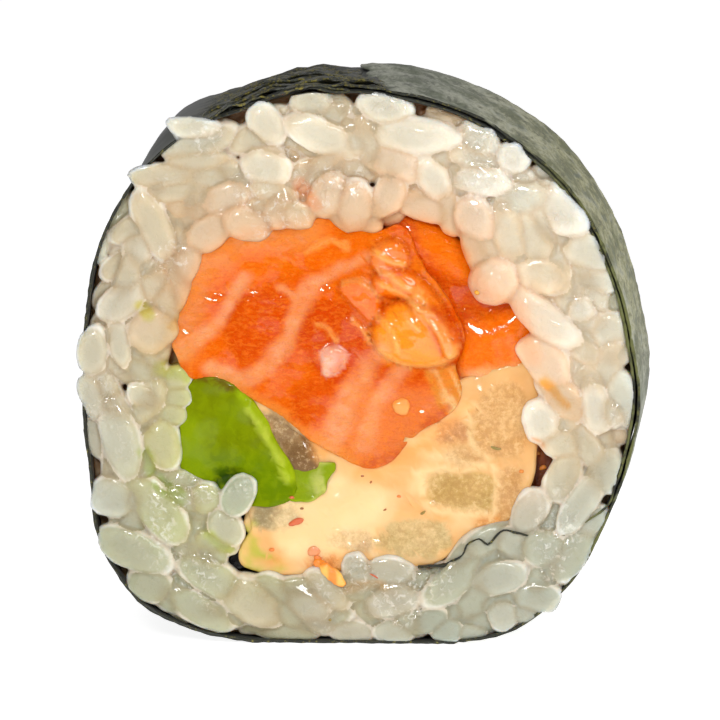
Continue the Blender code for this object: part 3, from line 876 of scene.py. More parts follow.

# %% [markdown]
# The rice of the front face
#
# A person who knows this piece would count its grains, so the ones that show are placed one by one: where
# each lies, its length and width, the way it points and how far it stands out of the cut. They are kept
# in groups by tone: cooked rice takes its colour from what it touches, green by the avocado, cool and grey
# where it is wet at the foot, while the pink beside the fish is a painted glow of the light through it.

# %% The grains of the front face
# Each grain is (x, z, length, width, angle, lift), in millimetres and degrees
FRONT_GRAINS = {
    "white": [
        (-13.8, 42.6, 4.3, 1.7, -5, 0.6), (-18.3, 32.4, 3.9, 2.2, 88, 0.0),
        (-19.6, 28.2, 4.6, 2.6, 38, 0.2), (-19.8, 24.8, 4.4, 1.6, -80, 0.2),
        (-17.6, 20.3, 3.4, 1.9, -35, 0.2), (-20.2, 19.4, 4.2, 2.2, -50, 0.0),
        (-7.8, 43.0, 3.8, 2.4, -52, 0.7), (-3.2, 42.0, 7.0, 2.6, -25, 0.3), (1.9, 44.4, 4.6, 2.4, -15, 0.2),
        (4.3, 42.1, 7.5, 2.6, -3, 0.6), (-0.5, 41.5, 3.0, 2.0, -20, 0.0), (-7.9, 39.4, 4.4, 2.7, -12, 0.4),
        (5.9, 38.5, 4.0, 2.4, -60, 0.4), (12.4, 40.4, 2.8, 2.3, -60, 0.2), (9.5, 38.5, 5.6, 2.3, -5, 0.3),
        (16.5, 36.0, 5.2, 2.9, -50, 0.3), (15.2, 27.0, 7.4, 2.4, -36, 0.8),
        (17.9, 27.8, 2.6, 2.2, -20, 0.2), (14.8, 18.6, 3.6, 2.8, -70, 0.4),
        (19.2, 19.9, 4.8, 2.2, -80, 0.3), (18.0, 11.8, 6.0, 2.2, 58, 0.4), (11.3, 5.6, 4.9, 2.5, 14, 0.3),
        (11.5, 2.7, 2.8, 2.2, -60, 0.1), (2.4, 3.6, 5.0, 2.6, 15, 0.1),
    ],
    "cream": [
        (-13.4, 39.8, 5.4, 2.0, 5, 0.0), (-15.8, 38.6, 6.8, 1.9, 5, 0.2), (-15.0, 37.3, 7.0, 1.8, 5, 0.0),
        (-16.9, 34.4, 7.0, 2.5, -63, 0.5), (-16.9, 29.7, 3.6, 2.4, 40, 0.0),
        (-7.2, 37.3, 4.6, 2.4, -30, 0.2), (-5.9, 35.7, 4.2, 2.2, -15, 0.3),
        (12.0, 34.0, 5.5, 3.0, -70, 0.2), (14.2, 33.6, 6.0, 2.8, -68, 0.1),
        (10.2, 33.1, 4.0, 2.4, -20, 0.0), (14.8, 30.8, 5.0, 2.8, -15, 0.3),
        (18.2, 24.6, 4.4, 2.0, -40, 0.1), (18.8, 22.2, 3.4, 2.0, -30, 0.0),
        (16.6, 16.9, 4.0, 2.6, -10, 0.1), (16.6, 14.2, 4.8, 2.4, 68, 0.1), (-2.9, 4.4, 4.6, 2.6, -35, 0.1),
        (-8.9, 3.3, 6.0, 3.4, -25, 0.2),
    ],
    # Pink and peach grains lie mostly beside the fish: their warm tint is a painted glow of the light through
    # it
    "pink": [
        (-11.2, 36.9, 5.0, 2.6, 22, 0.1), (-9.5, 34.9, 4.4, 2.6, -8, 0.5), (-12.6, 34.2, 4.6, 2.4, 34, 0.2),
        (-14.5, 31.2, 4.2, 2.0, 72, 0.1), (-6.9, 36.2, 3.6, 2.4, 80, 0.4), (-17.2, 25.9, 4.4, 3.4, 45, 0.2),
        (2.6, 39.9, 6.0, 2.6, -20, 0.1), (-2.7, 37.2, 4.2, 3.0, 65, 0.6), (-0.6, 36.4, 4.3, 2.7, 90, 0.8),
        (2.2, 37.3, 4.0, 2.4, 60, 0.3), (5.4, 36.2, 5.0, 2.2, -15, 0.0), (9.3, 35.3, 4.6, 2.9, -50, 0.6),
        (10.9, 30.2, 3.8, 3.6, 0, 0.8), (15.2, 23.4, 5.6, 3.0, -55, 0.3), (13.8, 11.0, 4.2, 2.5, 62, 0.2),
    ],
    "peach": [
        (-15.2, 30.6, 6.0, 2.0, -85, 0.0), (-13.3, 35.6, 6.0, 2.0, -10, -0.2),
        (16.6, 20.6, 5.0, 2.6, -55, 0.2),
    ],
    "grey": [
        (-13.3, 41.3, 6.5, 2.4, 16, 0.0), (-22.0, 24.1, 4.2, 2.3, 88, 0.4),
        (-18.2, 22.6, 5.0, 2.2, -8, -0.2), (-22.1, 20.4, 4.2, 2.0, -70, 0.2),
        (-4.2, 44.8, 3.6, 2.2, -10, -0.1), (-1.9, 44.4, 2.6, 1.6, -70, -0.6),
        (-0.1, 43.8, 1.9, 1.3, -50, -0.3), (9.5, 41.8, 3.6, 2.8, -10, 0.1),
        (15.4, 38.4, 3.8, 1.7, -30, -0.8), (18.6, 32.6, 4.6, 3.0, -30, 0.0), (18.9, 30.2, 4.4, 1.9, 0, 0.0),
        (20.4, 26.2, 3.4, 2.6, 20, 0.0), (20.7, 24.1, 3.0, 2.2, 30, -0.1), (16.6, 11.2, 2.6, 1.4, 60, -0.7),
        (12.6, 8.4, 3.8, 2.3, -35, 0.0), (13.6, 2.8, 3.0, 1.8, 0, -0.1), (2.4, 5.9, 4.4, 2.2, -8, 0.0),
        (-0.3, 6.0, 3.2, 2.0, -50, 0.0), (-4.7, 3.4, 5.0, 2.6, -25, 0.1), (-3.6, 2.0, 3.2, 1.8, -20, -0.1),
        (-0.9, 1.1, 3.6, 1.8, 0, -0.2), (-22.0, 17.0, 3.6, 1.9, -70, -0.5),
        (-11.3, 9.6, 3.6, 2.4, -50, 0.3), (-13.6, 7.6, 4.0, 1.8, -12, -0.1),
    ],
    "greyish_green": [
        (-19.9, 34.9, 5.5, 2.4, 88, -1.0), (20.5, 28.4, 2.6, 1.6, -60, -0.7),
        (17.4, 7.7, 5.6, 2.6, 55, 0.1), (15.2, 8.0, 4.6, 3.0, -20, 0.1), (7.6, 5.5, 6.4, 2.6, 42, 0.2),
        (9.2, 2.8, 4.4, 2.0, 15, -0.8), (-6.3, 1.1, 5.6, 1.5, -5, -0.5), (-14.6, 13.4, 3.6, 1.9, -20, -0.3),
        (-13.6, 10.6, 2.4, 1.4, 10, -0.3), (-18.8, 7.8, 7.0, 2.9, -24, 0.4),
        (-17.4, 4.9, 4.0, 2.6, -15, 0.1), (-12.4, 5.4, 6.5, 2.6, -32, 0.3),
        (-13.3, 2.9, 6.4, 2.2, -30, 0.2), (-15.0, 2.6, 2.4, 1.2, -35, -0.6),
    ],
    "greenish": [
        (-16.3, 16.6, 4.6, 2.8, -73, 0.1), (-16.8, 11.2, 7.6, 3.0, -48, 0.4),
        (-13.0, 12.0, 2.8, 2.4, 0, 0.1), (-12.2, 8.3, 4.0, 2.0, -10, 0.0),
        (-15.3, 21.8, 3.0, 2.0, 20, -0.3), (-15.2, 20.4, 2.8, 1.8, 0, -0.3),
        (-15.6, 18.9, 3.0, 1.8, 0, -0.3),
    ],
    "cool": [
        (-21.4, 33.0, 3.4, 1.2, 85, -0.6), (13.2, 37.0, 5.0, 2.6, 5, 0.1),
        (18.8, 34.2, 2.5, 1.3, -45, -0.2), (21.4, 20.6, 4.8, 2.3, -82, 0.0),
        (20.1, 14.6, 4.0, 2.6, 80, 0.0), (18.9, 10.2, 3.4, 1.8, 55, 0.0), (14.4, 3.9, 4.4, 2.4, -5, 0.1),
        (8.9, 1.2, 2.6, 1.3, 0, -0.1), (2.6, 1.2, 3.4, 1.9, 0, 0.0), (-19.7, 16.8, 7.0, 2.9, -75, 0.4),
        (-20.4, 12.1, 4.0, 3.0, -20, 0.3), (-18.6, 12.0, 3.0, 2.4, -20, 0.1),
    ],
    "blue": [
        (5.3, 2.1, 3.8, 1.8, 18, 0.1), (6.9, 1.4, 2.8, 2.0, 0, 0.0), (-10.2, 12.3, 3.8, 2.2, 62, 0.8),
    ],
    # Tan grains lie sunk between the others: their tan tone is painted shade in the hollows
    "tan": [
        (-17.4, 32.2, 3.4, 2.0, -60, -0.8), (-6.0, 39.9, 4.0, 1.8, -55, -0.8),
        (-3.9, 39.6, 3.6, 2.0, 20, -0.7), (7.0, 43.3, 4.0, 1.8, -25, -0.8),
        (8.5, 40.1, 4.5, 1.8, -25, -0.8), (16.3, 33.6, 4.0, 2.2, -70, -0.8),
        (20.2, 17.4, 3.6, 1.6, 0, -0.8),
    ],
}

# %% The tones of the grains
# Pink and peach hold a painted glow of the light through the fish, and tan a painted shade of sunk grains
TONES = {
    "white": paint(224, 218, 204), "cream": paint(220, 206, 180), "pink": paint(226, 200, 176),
    "peach": paint(224, 190, 152), "grey": paint(206, 200, 182), "greyish_green": paint(200, 198, 166),
    "greenish": paint(204, 202, 152), "cool": paint(208, 208, 194), "blue": paint(176, 184, 170),
    "tan": paint(210, 178, 142),
}
print(sum(len(group) for group in FRONT_GRAINS.values()), "grains placed by hand")

# %% [markdown]
# One grain, and the heap of them
#
# A cooked short grain is a blunt spindle, a little bent, thicker towards one end and never quite even.
# It starts as a sphere whose cross-section is swelled, tapered, bent and dented. Under the grains that
# were placed, a second layer fills the gaps, spread by rule. At the back face, nobody has seen the
# grains, so they are spread by the same rule. The knife has sliced most grains of a cut face flat, so
# their tops are level and only the rims fall away; the ones that stand out are whole and round.


# %% One grain
GRAIN_BALL = ball(4)
grain_draw = np.random.default_rng(5)


def grain(x, y, z, length, width, angle, tilt=0.0, flat=3.0):
    """Points and triangles of one cooked grain; with a higher flat it is more of a cut slice."""
    unit = GRAIN_BALL[0]
    a, b, c = unit.T
    around = np.arctan2(b, a)
    reach = np.hypot(a, b)
    nicks = np.ones(len(unit))
    for turns, most in ((2, 0.05), (3, 0.045), (5, 0.03), (8, 0.018), (13, 0.012)):
        nicks += (
            grain_draw.uniform(0.3, 1.0) * most
            * np.sin(turns * around + grain_draw.uniform(0, 6.3)) * reach
        )
    swell = np.clip(1 - np.abs(a) ** 2.5, 0.0, 1) ** 0.5 / np.clip(1 - a**2, 1e-4, 1) ** 0.5
    swell = np.clip(swell, 1.0, 1.2) * (1 + grain_draw.uniform(-0.15, 0.15) * a)
    bend = grain_draw.uniform(-0.07, 0.07) * length
    thick = np.sign(c) * np.clip(1 - reach**flat, 0, 1) ** (1 / flat)
    dents = 0.05 * ripple(unit, 1.3, grain_draw.integers(1 << 30))
    u = a * nicks * length / 2
    v = b * swell * nicks * width / 2 + bend * (a**2 - 0.4)
    w = (thick + dents) * width / 2 * 0.8 + u * tilt
    cos, sin = math.cos(math.radians(angle)), math.sin(math.radians(angle))
    points = np.stack([x + u * cos - v * sin, y + w, z + u * sin + v * cos], axis=1)
    points[:, 2] = np.maximum(points[:, 2], 0.12)
    return points, GRAIN_BALL[1]


print("each grain has", len(GRAIN_BALL[1]), "triangles")

# %% [markdown]
# The heap
#
# Grains that nobody placed take their tone from where they lie: beside the fish, a warm painted glow of the
# light that comes through it; greenish at the foot. Each is tried at a few lengths and turned until it fits
# between the nori and the filling, as a grain settles when the roll is pressed. A few holes are kept free,
# where the real heap has gaps.


# %% A tone for each place
def bright(tone, by):
    """A tone made lighter or darker."""
    return tuple(min(1.0, c * by) for c in tone)


def heap_tone(x, z):
    """The tone of a grain that nobody placed, from where it lies."""
    # Beside the fish the tone turns peach: a painted glow of the light that comes through the fish
    near_fish = 1 - ease(1.0, 6.0, max(0.0, math.hypot(x, z - 27) - 10))
    low = 1 - ease(4.0, 16.0, z)
    tone = np.array(TONES["cream"]) * (1 - low) + np.array(TONES["greyish_green"]) * low
    return tuple(
        tone * (1 - 0.7 * near_fish * (1 - low)) + np.array(TONES["peach"]) * 0.7 * near_fish * (1 - low)
    )


# %% Finding room for a grain
rice_outer = shifted(wall, under + NORI - 0.06)
rice_outer = np.maximum(rice_outer, [-99, NORI - 0.06])
grain_outer = shifted(wall, under + NORI)
rice_hole = shifted(filling_loop, 0.8, closed=True)
# Places where the cut face has a hole: x, z and radius
HOLES = [
    (14.2, 14.0, 1.3), (15.8, 10.3, 0.7), (-9.8, 10.0, 0.8), (-9.8, 6.6, 1.0), (-19.6, 37.4, 0.8),
    (4.4, 44.2, 0.7),
]


def fits(x, z, length, width, angle):
    """Whether a grain lies between the nori and the filling."""
    cos, sin = math.cos(math.radians(angle)), math.sin(math.radians(angle))
    turn = np.linspace(0, 2 * math.pi, 12, endpoint=False)
    u, v = length / 2 * np.cos(turn), width / 2 * np.sin(turn)
    rim = np.column_stack([x + u * cos - v * sin, z + u * sin + v * cos])
    if any(np.hypot(rim[:, 0] - hx, rim[:, 1] - hz).min() < radius for hx, hz, radius in HOLES):
        return False
    return inside(grain_outer, rim).all() and rim[:, 1].min() > NORI and not inside(filling_loop, rim).any()


def spread(apart, face, into, seed, most_length=6.4, most_width=2.7):
    """Grains spread over the rice at random, each turned until it fits."""
    draw = np.random.default_rng(seed)
    placed = []
    for _ in range(4000):
        x, z = draw.uniform(-23, 23), draw.uniform(0, 46.5)
        if any(math.hypot(x - other[0], z - other[2]) < apart for other in placed):
            continue
        width = most_width * draw.uniform(0.82, 1.0)
        for share in (1.0, 0.85, 0.7, 0.55):
            angle = draw.uniform(0, 180)
            length = most_length * share * draw.uniform(0.92, 1.05)
            if fits(x, z, length, width, angle):
                y = face + into * draw.uniform(0.8, 1.2)
                placed.append((x, y, z, length, width, angle, draw.uniform(-0.2, 0.2)))
                break
    return placed


print(len(HOLES), "holes stay free of grains")

# %% The grains of both faces
# Smoothing takes a little off each grain, so it starts longer and wider than it was drawn
LONGER = 1.07
WIDER = 1.22
PRESSED_OUT = 0.2  # the grains at the left and at the foot touch the sheet

front_grains = []
for tone, group in FRONT_GRAINS.items():
    for x, z, length, width, angle, lift in group:
        y = FRONT + 0.1 + 0.4 * width - 0.9 * lift
        if x < -13 or z < 3:
            outward = PRESSED_OUT / math.hypot(x, z - 22)
            x, z = x + outward * x, z + outward * (z - 22)
        shade = grain_draw.uniform(0.92, 1.06)
        tilt = grain_draw.uniform(-0.1, 0.1)
        cut = 2.6 if lift > 0.45 else 4.0
        place = (x, y, z, LONGER * length, WIDER * width, angle, tilt, cut)
        front_grains.append((place, bright(TONES[tone], shade)))
filler = spread(1.6, FRONT, 1.15, 31)
# The second layer behind the placed grains is painted darker, as shade
front_grains += [(place, bright(heap_tone(place[0], place[2]), 0.86)) for place in filler]
back_grains = [
    (place, bright(heap_tone(place[0], place[2]), grain_draw.uniform(0.95, 1.06)))
    for place in spread(2.1, BACK, -0.75, 33)
]
# The deeper second layer at the back is painted darker, as shade
back_grains += [(place, bright(heap_tone(place[0], place[2]), 0.85)) for place in spread(1.9, BACK, -2.3, 34)]
print(len(front_grains), "grains in front,", len(back_grains), "behind")


# %% [markdown]
# Drawing on a face
#
# A mask says how much of something is at each point, from 0 to 1. It is drawn as a line with a width or
# as a loop, both with a soft edge, and shaken a little so that its edge wanders as a stain's does. The
# same masks paint the rice, the fish and the cream, and press their surfaces in or out.


# %% Masks on the face
def nearby(spots, path, reach):
    """Which spots are close enough to a drawn line for it to matter."""
    low, high = np.min(path, axis=0) - reach, np.max(path, axis=0) + reach
    return np.flatnonzero(((spots >= low) & (spots <= high)).all(axis=1))


def line_mask(spots, path, half, soft):
    """1 on a drawn line this wide, fading to 0 over soft; the width may be a pair, for its two ends."""
    first, last = half if isinstance(half, tuple) else (half, half)
    line = curve(path, 0.5)
    close = nearby(spots, line, max(first, last) + soft)
    away, share = off_line(spots[close], line)
    mask = np.zeros(len(spots))
    mask[close] = 1 - ease(0.0, 1.0, (away - first - (last - first) * share) / soft)
    return mask


def loop_mask(spots, loop, soft):
    """1 inside a drawn loop, fading to 0 over soft outside it."""
    ring = curve(loop, 0.4, closed=True)
    close = nearby(spots, ring, soft)
    away, _ = off_line(spots[close], np.vstack([ring, ring[:1]]))
    mask = np.zeros(len(spots))
    mask[close] = np.where(inside(ring, spots[close]), 1.0, 1 - ease(0.0, soft, away))
    return mask


def warped(points, amount=0.3, size=1.4, seed=47):
    """Places on the face, shaken a little, so that what is drawn on them gets a natural edge."""
    shake = [mottle(points, size, seed + k) + 0.5 * mottle(points, size / 2.5, seed + 5 + k) for k in (0, 1)]
    return points[:, [0, 2]] + amount * np.stack(shake, axis=1)


beside = np.array([[0.0, 0.2], [0.0, 0.6], [0.0, 1.4]])
print("further and further from a line:", line_mask(beside, [(-1.0, 0.0), (1.0, 0.0)], 0.3, 0.6).round(2))

# %% [markdown]
# Which grain is it
#
# Once the grains are fused, nothing says which grain a point belongs to. It is found again by asking each
# grain how far inside it the point lies. The best answer gives the tone, and two answers that are nearly
# as good mean that the point lies in a crease.


# %% Which grain is it
def nearest_grain(points, grains):
    """For each point: its grain's tone, how near the grain's rim it is, and how deep in a crease."""
    best = np.full(len(points), 9.0)
    second = np.full(len(points), 9.0)
    rim = np.ones(len(points))
    owner = np.zeros(len(points), int)
    around = np.zeros((len(points), 3))
    weight = np.full(len(points), 1e-6)
    for i, ((x, y, z, length, width, angle, tilt, *_), tone) in enumerate(grains):
        away = points - (x, y, z)
        close = np.flatnonzero((np.abs(away) < length * 0.8 + 1.0).all(axis=1))
        cos, sin = math.cos(math.radians(angle)), math.sin(math.radians(angle))
        u = away[close, 0] * cos + away[close, 2] * sin
        v = -away[close, 0] * sin + away[close, 2] * cos
        w = away[close, 1] - u * tilt
        flat = (2 * u / length) ** 2 + (2 * v / width) ** 2
        q = np.sqrt(flat + (2 * w / width) ** 2)
        pull = np.exp(-1.5 * q * q)
        around[close] += pull[:, None] * np.array(tone)
        weight[close] += pull
        wins = q < best[close]
        won = close[wins]
        second[won] = best[won]
        best[won] = q[wins]
        rim[won] = np.sqrt(flat[wins])
        owner[won] = i
        lost = close[~wins]
        second[lost] = np.minimum(second[lost], q[~wins])
    own = np.array([tone for _, tone in grains])[owner]
    return 0.3 * own + 0.7 * around / weight[:, None], rim, 1 - ease(0.0, 0.35, second - best)


# %% Stains on the rice
# Where the rice lies against the fish, and is painted with a warm glow of the light through the fish
FISH_SIDE = [
    (-14.6, 25.0), (-14.4, 29.0), (-12.8, 32.0), (-9.6, 33.8), (-4.0, 34.8), (2.0, 34.2), (5.0, 35.0),
    (8.4, 32.4), (10.0, 29.4), (13.0, 28.0), (14.0, 24.0),
]


def lay(colours, mask, tone):
    """Paints a tone over the colours where the mask is."""
    mask = np.asarray(mask)[:, None]
    return colours * (1 - mask) + np.array(tone) * mask


# Where avocado, oil or fish has been smeared on the rice: a line, half its width, its tone and its share
SMEARS = [
    ([(-16.6, 22.8), (-14.4, 22.2)], 0.45, paint(176, 188, 50), 0.55),
    ([(-17.9, 15.8), (-17.4, 14.2)], 0.2, paint(160, 184, 40), 0.6),
    ([(-16.6, 13.3), (-15.0, 12.0)], 0.3, paint(150, 178, 30), 0.6),
    ([(-12.6, 9.1), (-11.8, 8.2), (-10.6, 7.7)], 0.15, paint(190, 204, 70), 0.6),
    ([(14.9, 21.9), (15.8, 21.4), (16.2, 20.7), (16.9, 19.9)], 0.12, paint(226, 160, 40), 0.9),
    ([(-18.3, 27.9), (-17.7, 27.2)], 0.35, paint(206, 196, 60), 0.7),
    ([(-14.5, 27.4), (-15.4, 26.4)], 0.3, paint(226, 176, 70), 0.5),
    ([(13.4, 16.8), (14.6, 16.6), (13.6, 15.8)], 0.3, paint(232, 150, 50), 0.6),
    ([(-5.3, 38.2), (-3.8, 36.4)], 0.3, paint(236, 130, 40), 0.5),
    ([(3.4, 34.6), (6.4, 34.0), (8.4, 32.0)], 0.3, paint(240, 150, 70), 0.5),
    ([(-1.2, 4.9), (1.6, 4.7)], 0.15, paint(222, 180, 110), 0.5),
]
AVOCADO_SIDE = [(-14.8, 23.0), (-15.4, 14.0), (-12.6, 10.6), (-9.4, 7.6)]
# Painted shade in the dark hollows between the rice and the filling: each a loop and its dark tone
CREVICES = [
    ([(-10.6, 11.4), (-8.8, 11.2), (-8.6, 9.4), (-8.8, 7.8), (-10.8, 8.4)], paint(10, 10, 6)),
    ([(-11.2, 8.0), (-9.2, 8.2), (-7.4, 6.6), (-7.0, 5.0), (-10.4, 5.0), (-11.6, 6.6)], paint(10, 10, 6)),
    ([(4.2, 7.0), (5.6, 7.6), (7.4, 7.4), (6.2, 6.0), (4.8, 6.0)], paint(14, 13, 8)),
    ([(15.0, 11.6), (16.0, 11.4), (17.0, 9.6), (15.2, 9.3), (14.6, 10.2)], paint(70, 44, 22)),
    ([(12.4, 15.8), (15.4, 16.0), (15.6, 12.6), (14.4, 11.8), (12.4, 12.0)], paint(150, 88, 30)),
]

print(len(SMEARS), "smears and", len(CREVICES), "dark hollows")

# %% [markdown]
# The rice of each face, and behind it
#
# The grains of a face are fused with a bed of rice behind them, and whatever would poke through the nori
# is pushed back to its inner side. Then the face gets its tones, one over the other: each grain's own, a
# painted warm glow beside the fish, the green of the avocado, painted shade in the hollows, the smears,
# and painted daylight that makes the upper right brighter than the foot and the left side. Between both
# beds lies plain rice that nobody sees.


# %% Keeping the rice in
BED_FROM = 2.2  # from the cut face to the rice behind its grains
BED_TO = 5.0
MIDDLE_FROM = 3.5
FROM_FRONT = 1
FROM_BACK = -1


def kept_in(points, face, into):
    """Pushes what would poke through the sheet back to its inner side; in front of the rim it may stay."""
    ring = np.vstack([rice_outer, rice_outer[:1]])
    out = ~inside(rice_outer, points[:, [0, 2]]) & ((points[:, 1] - face) * into > -0.1)
    _, share = off_line(points[out][:, [0, 2]], ring)
    lengths = run(ring)
    for axis, column in ((0, 0), (2, 1)):
        points[out, axis] = np.interp(share * lengths[-1], lengths, ring[:, column])
    return points


# %% One layer of rice
def rice_layer(name, grains, face, into, triangles):
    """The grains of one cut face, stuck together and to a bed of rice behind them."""
    bed = plate([rice_outer, rice_hole], *sorted((face + BED_FROM * into, face + BED_TO * into)))
    made = fused(name, [bed, *(grain(*place) for place, _ in grains)], 0.14, 2, triangles)
    points, _ = read_mesh(made.data)
    points = kept_in(points, face, into)
    tone, rim, crease = nearest_grain(points, grains)
    wet = ease(0.05, 0.5, mottle(points, 3.2, 71))
    crumbs = wet * (0.06 * mottle(points, 0.5, 72) + 0.03 * mottle(points, 0.28, 73))
    points[:, 1] -= into * crumbs
    made.data.vertices.foreach_set("co", (points * MM).astype(np.float32).ravel())
    made.data.update()
    # Painted glow: beside the fish the rice is painted warmer and more orange, as light through the fish, and
    # the painted rim highlight is dimmed there
    fish, _ = off_line(points[:, [0, 2]], FISH_SIDE)
    warm = 1 - ease(0.2, 4.5, fish)
    tone = lay(tone, 0.4 * warm, paint(236, 184, 132))
    if into > 0:
        tone = lay(tone, 0.4 * (1 - ease(0.0, 1.3, fish)), paint(244, 158, 88))
    rim = rim * (1 - 0.5 * warm**2)
    spots = points[:, [0, 2]]
    cool = ease(2.0, 9.0, spots[:, 0]) * (1 - ease(10.0, 18.0, spots[:, 1]))
    tone = lay(tone, 0.55 * cool, paint(192, 202, 194))
    green = 1 - ease(2.0, 7.0, off_line(spots, AVOCADO_SIDE)[0])
    tone = lay(tone, 0.25 * green, paint(198, 200, 138))
    # Painted shade: the hollows are painted dark where the rice lies deep behind the face
    deep = ease(0.5, 1.3, (points[:, 1] - face) * into)
    for loop, dark in CREVICES if into > 0 else ():
        tone = lay(tone, deep * loop_mask(spots, loop, 0.5), dark)
    shaken = warped(points, 0.25)
    for path, half, smear, share in SMEARS if into > 0 else ():
        tone = lay(tone, share * line_mask(shaken, path, half, 0.5), smear)
    # Painted light and shade: the upper right is painted brighter, the foot and the left side darker
    low = 1 - ease(3.0, 24.0, points[:, 2])
    left = 1 - ease(-22.0, -8.0, points[:, 0])
    lit = ease(0.0, 12.0, spots[:, 0]) * ease(14.0, 24.0, spots[:, 1])
    tone = tone * np.stack([1.02 + 0.14 * lit, 1.0 + 0.16 * lit, 0.93 + 0.23 * lit], axis=1)
    corner = (1 - ease(-14.0, -6.0, spots[:, 0])) * (1 - ease(10.0, 16.0, spots[:, 1]))
    tone = tone * (1 + corner[:, None] * (0.06, 0.12, 0.2))
    carry(made, "tone", tone * (1 - 0.23 * low - 0.13 * left)[:, None])
    carry(made, "wet", wet)
    carry(made, "rim", rim)
    carry(made, "crease", crease)
    carry(made, "sunk", (points[:, 1] - face) * into)
    return made


# %% The three pieces of rice
rice_front = rice_layer("rice_front", front_grains, FRONT, FROM_FRONT, triangles=190000)
rice_back = rice_layer("rice_back", back_grains, BACK, FROM_BACK, triangles=110000)
middle_loops = [shifted(rice_outer, 0.25), rice_hole]
middle_plate = plate(middle_loops, FRONT + MIDDLE_FROM, BACK - MIDDLE_FROM)
rice_middle = fused("rice_middle", [middle_plate], 0.4, 2, triangles=12000)
middle_points, _ = read_mesh(rice_middle.data)
carry(rice_middle, "tone", np.tile(TONES["cream"], (len(middle_points), 1)))
for value, level in (("rim", 0.5), ("crease", 0.5), ("sunk", 4.0), ("wet", 0.0)):
    carry(rice_middle, value, np.full(len(middle_points), level))

# %% [markdown]
# The finish of rice
#
# A cooked grain is clear gel with cloudy starch: light goes in and comes out a millimetre away, its
# middle looks grey and its rim bright. So a slightly darker core is painted in as shade and a lighter rim
# as a painted highlight, the light scatters under the surface, and a wet film with tiny crumbs of starch
# gives the glints. In the creases between grains, and where the rice lies deep behind the face, the
# colour is painted darker and warmer as shade.


# %% The finish of rice
def rice_finish():
    """Cooked rice, read from what each point of the heap carries."""
    finish = Finish(
        "rice", IOR=1.38, Subsurface_Weight=0.85, Subsurface_Radius=(1.0, 0.8, 0.6), Subsurface_Scale=0.0014,
        Coat_Roughness=0.1, Specular_IOR_Level=0.4,
    )
    rim = finish.painted("rim")
    crease = finish.painted("crease")
    wet = finish.painted("wet")
    sunk = finish.painted("sunk")
    cloud = finish.noise(1.2, detail=4.0, rough=0.6)
    glaze = finish.noise(0.55, detail=4.0, rough=0.65, twist=0.6)
    colour = finish.painted("tone", colour=True)
    open_face = sunk.between(1.5, 0.7)
    # Painted shade on each grain's core and a painted highlight on its rim, on the open face only
    core = (0.75 - rim + 0.5 * cloud).between(0.2, 0.7)
    colour = finish.mix(core * open_face * 0.32, colour, paint(160, 154, 132))
    rim_highlight = (rim - 0.2 * cloud).between(0.68, 0.86)
    colour = finish.mix(rim_highlight * open_face * 0.6, colour, paint(250, 246, 236))
    starch = wet * glaze.between(0.52, 0.66)
    colour = finish.mix(starch * open_face * 0.5, colour, paint(246, 243, 233))
    # Painted shade: creases and whatever lies sunk behind the face are darkened to warm tan and brown
    colour = finish.mix(crease * 0.4, colour, paint(206, 176, 132), blend="MULTIPLY")
    colour = finish.mix(sunk.between(0.7, 1.8) * 0.85, colour, paint(216, 170, 128), blend="MULTIPLY")
    colour = finish.mix(sunk.between(1.9, 3.2) * 0.9, colour, paint(190, 116, 70), blend="MULTIPLY")
    return finish.feed(
        base_color=colour,
        roughness=0.42 - 0.25 * glaze,
        coat_weight=(0.3 + 0.7 * wet) * (1.0 - sunk.between(0.8, 2.0)),
        normal=finish.bump(glaze * (0.4 + 0.6 * wet) + cloud * 0.4, 0.3),
    )


rice = rice_finish()
rice_pieces = (rice_front, rice_back, rice_middle)
for piece in rice_pieces:
    dress(piece, rice, "rice", "rice")
print("rice has", sum(len(piece.data.polygons) for piece in rice_pieces), "faces")

# %% [markdown]
# The filling
#
# Each filling runs from face to face, so it starts as its drawn outline, a little larger than its solid to
# close the gap that solids keep, and is remeshed finely and given its own relief. What changes over the
# cut, such as lines of fat or a film of cream, is painted on the points of the mesh with a few drawn lines
# and loops in millimetres, because the same drawing can also push the surface in or out.


# %% A slice
def slice_of(name, loop, near, far, triangles, grow=0.3, voxel=0.2, ragged=0.12):
    """A filling with this outline, made a little ragged, from one depth to the other."""
    outline = curve(loop, 0.3, closed=True)
    flat = outline @ np.eye(2, 3)
    torn_by = ragged * (mottle(flat, 1.4, 151) + 0.6 * mottle(flat, 0.7, 152))
    edge = shifted(outline, torn_by - grow, closed=True)
    return fused(name, [plate([edge], near, far)], voxel, 2, triangles)


# %% [markdown]
# Salmon
#
# Raw salmon is soft orange muscle in curved leaves, with a line of pale fat between one leaf and the
# next. The lines are drawn on the face; they are paler, less glossy and slightly sunk. The knife pushed
# some of the leaves out of the middle as wet lobes, with a long bright ridge down the right side.

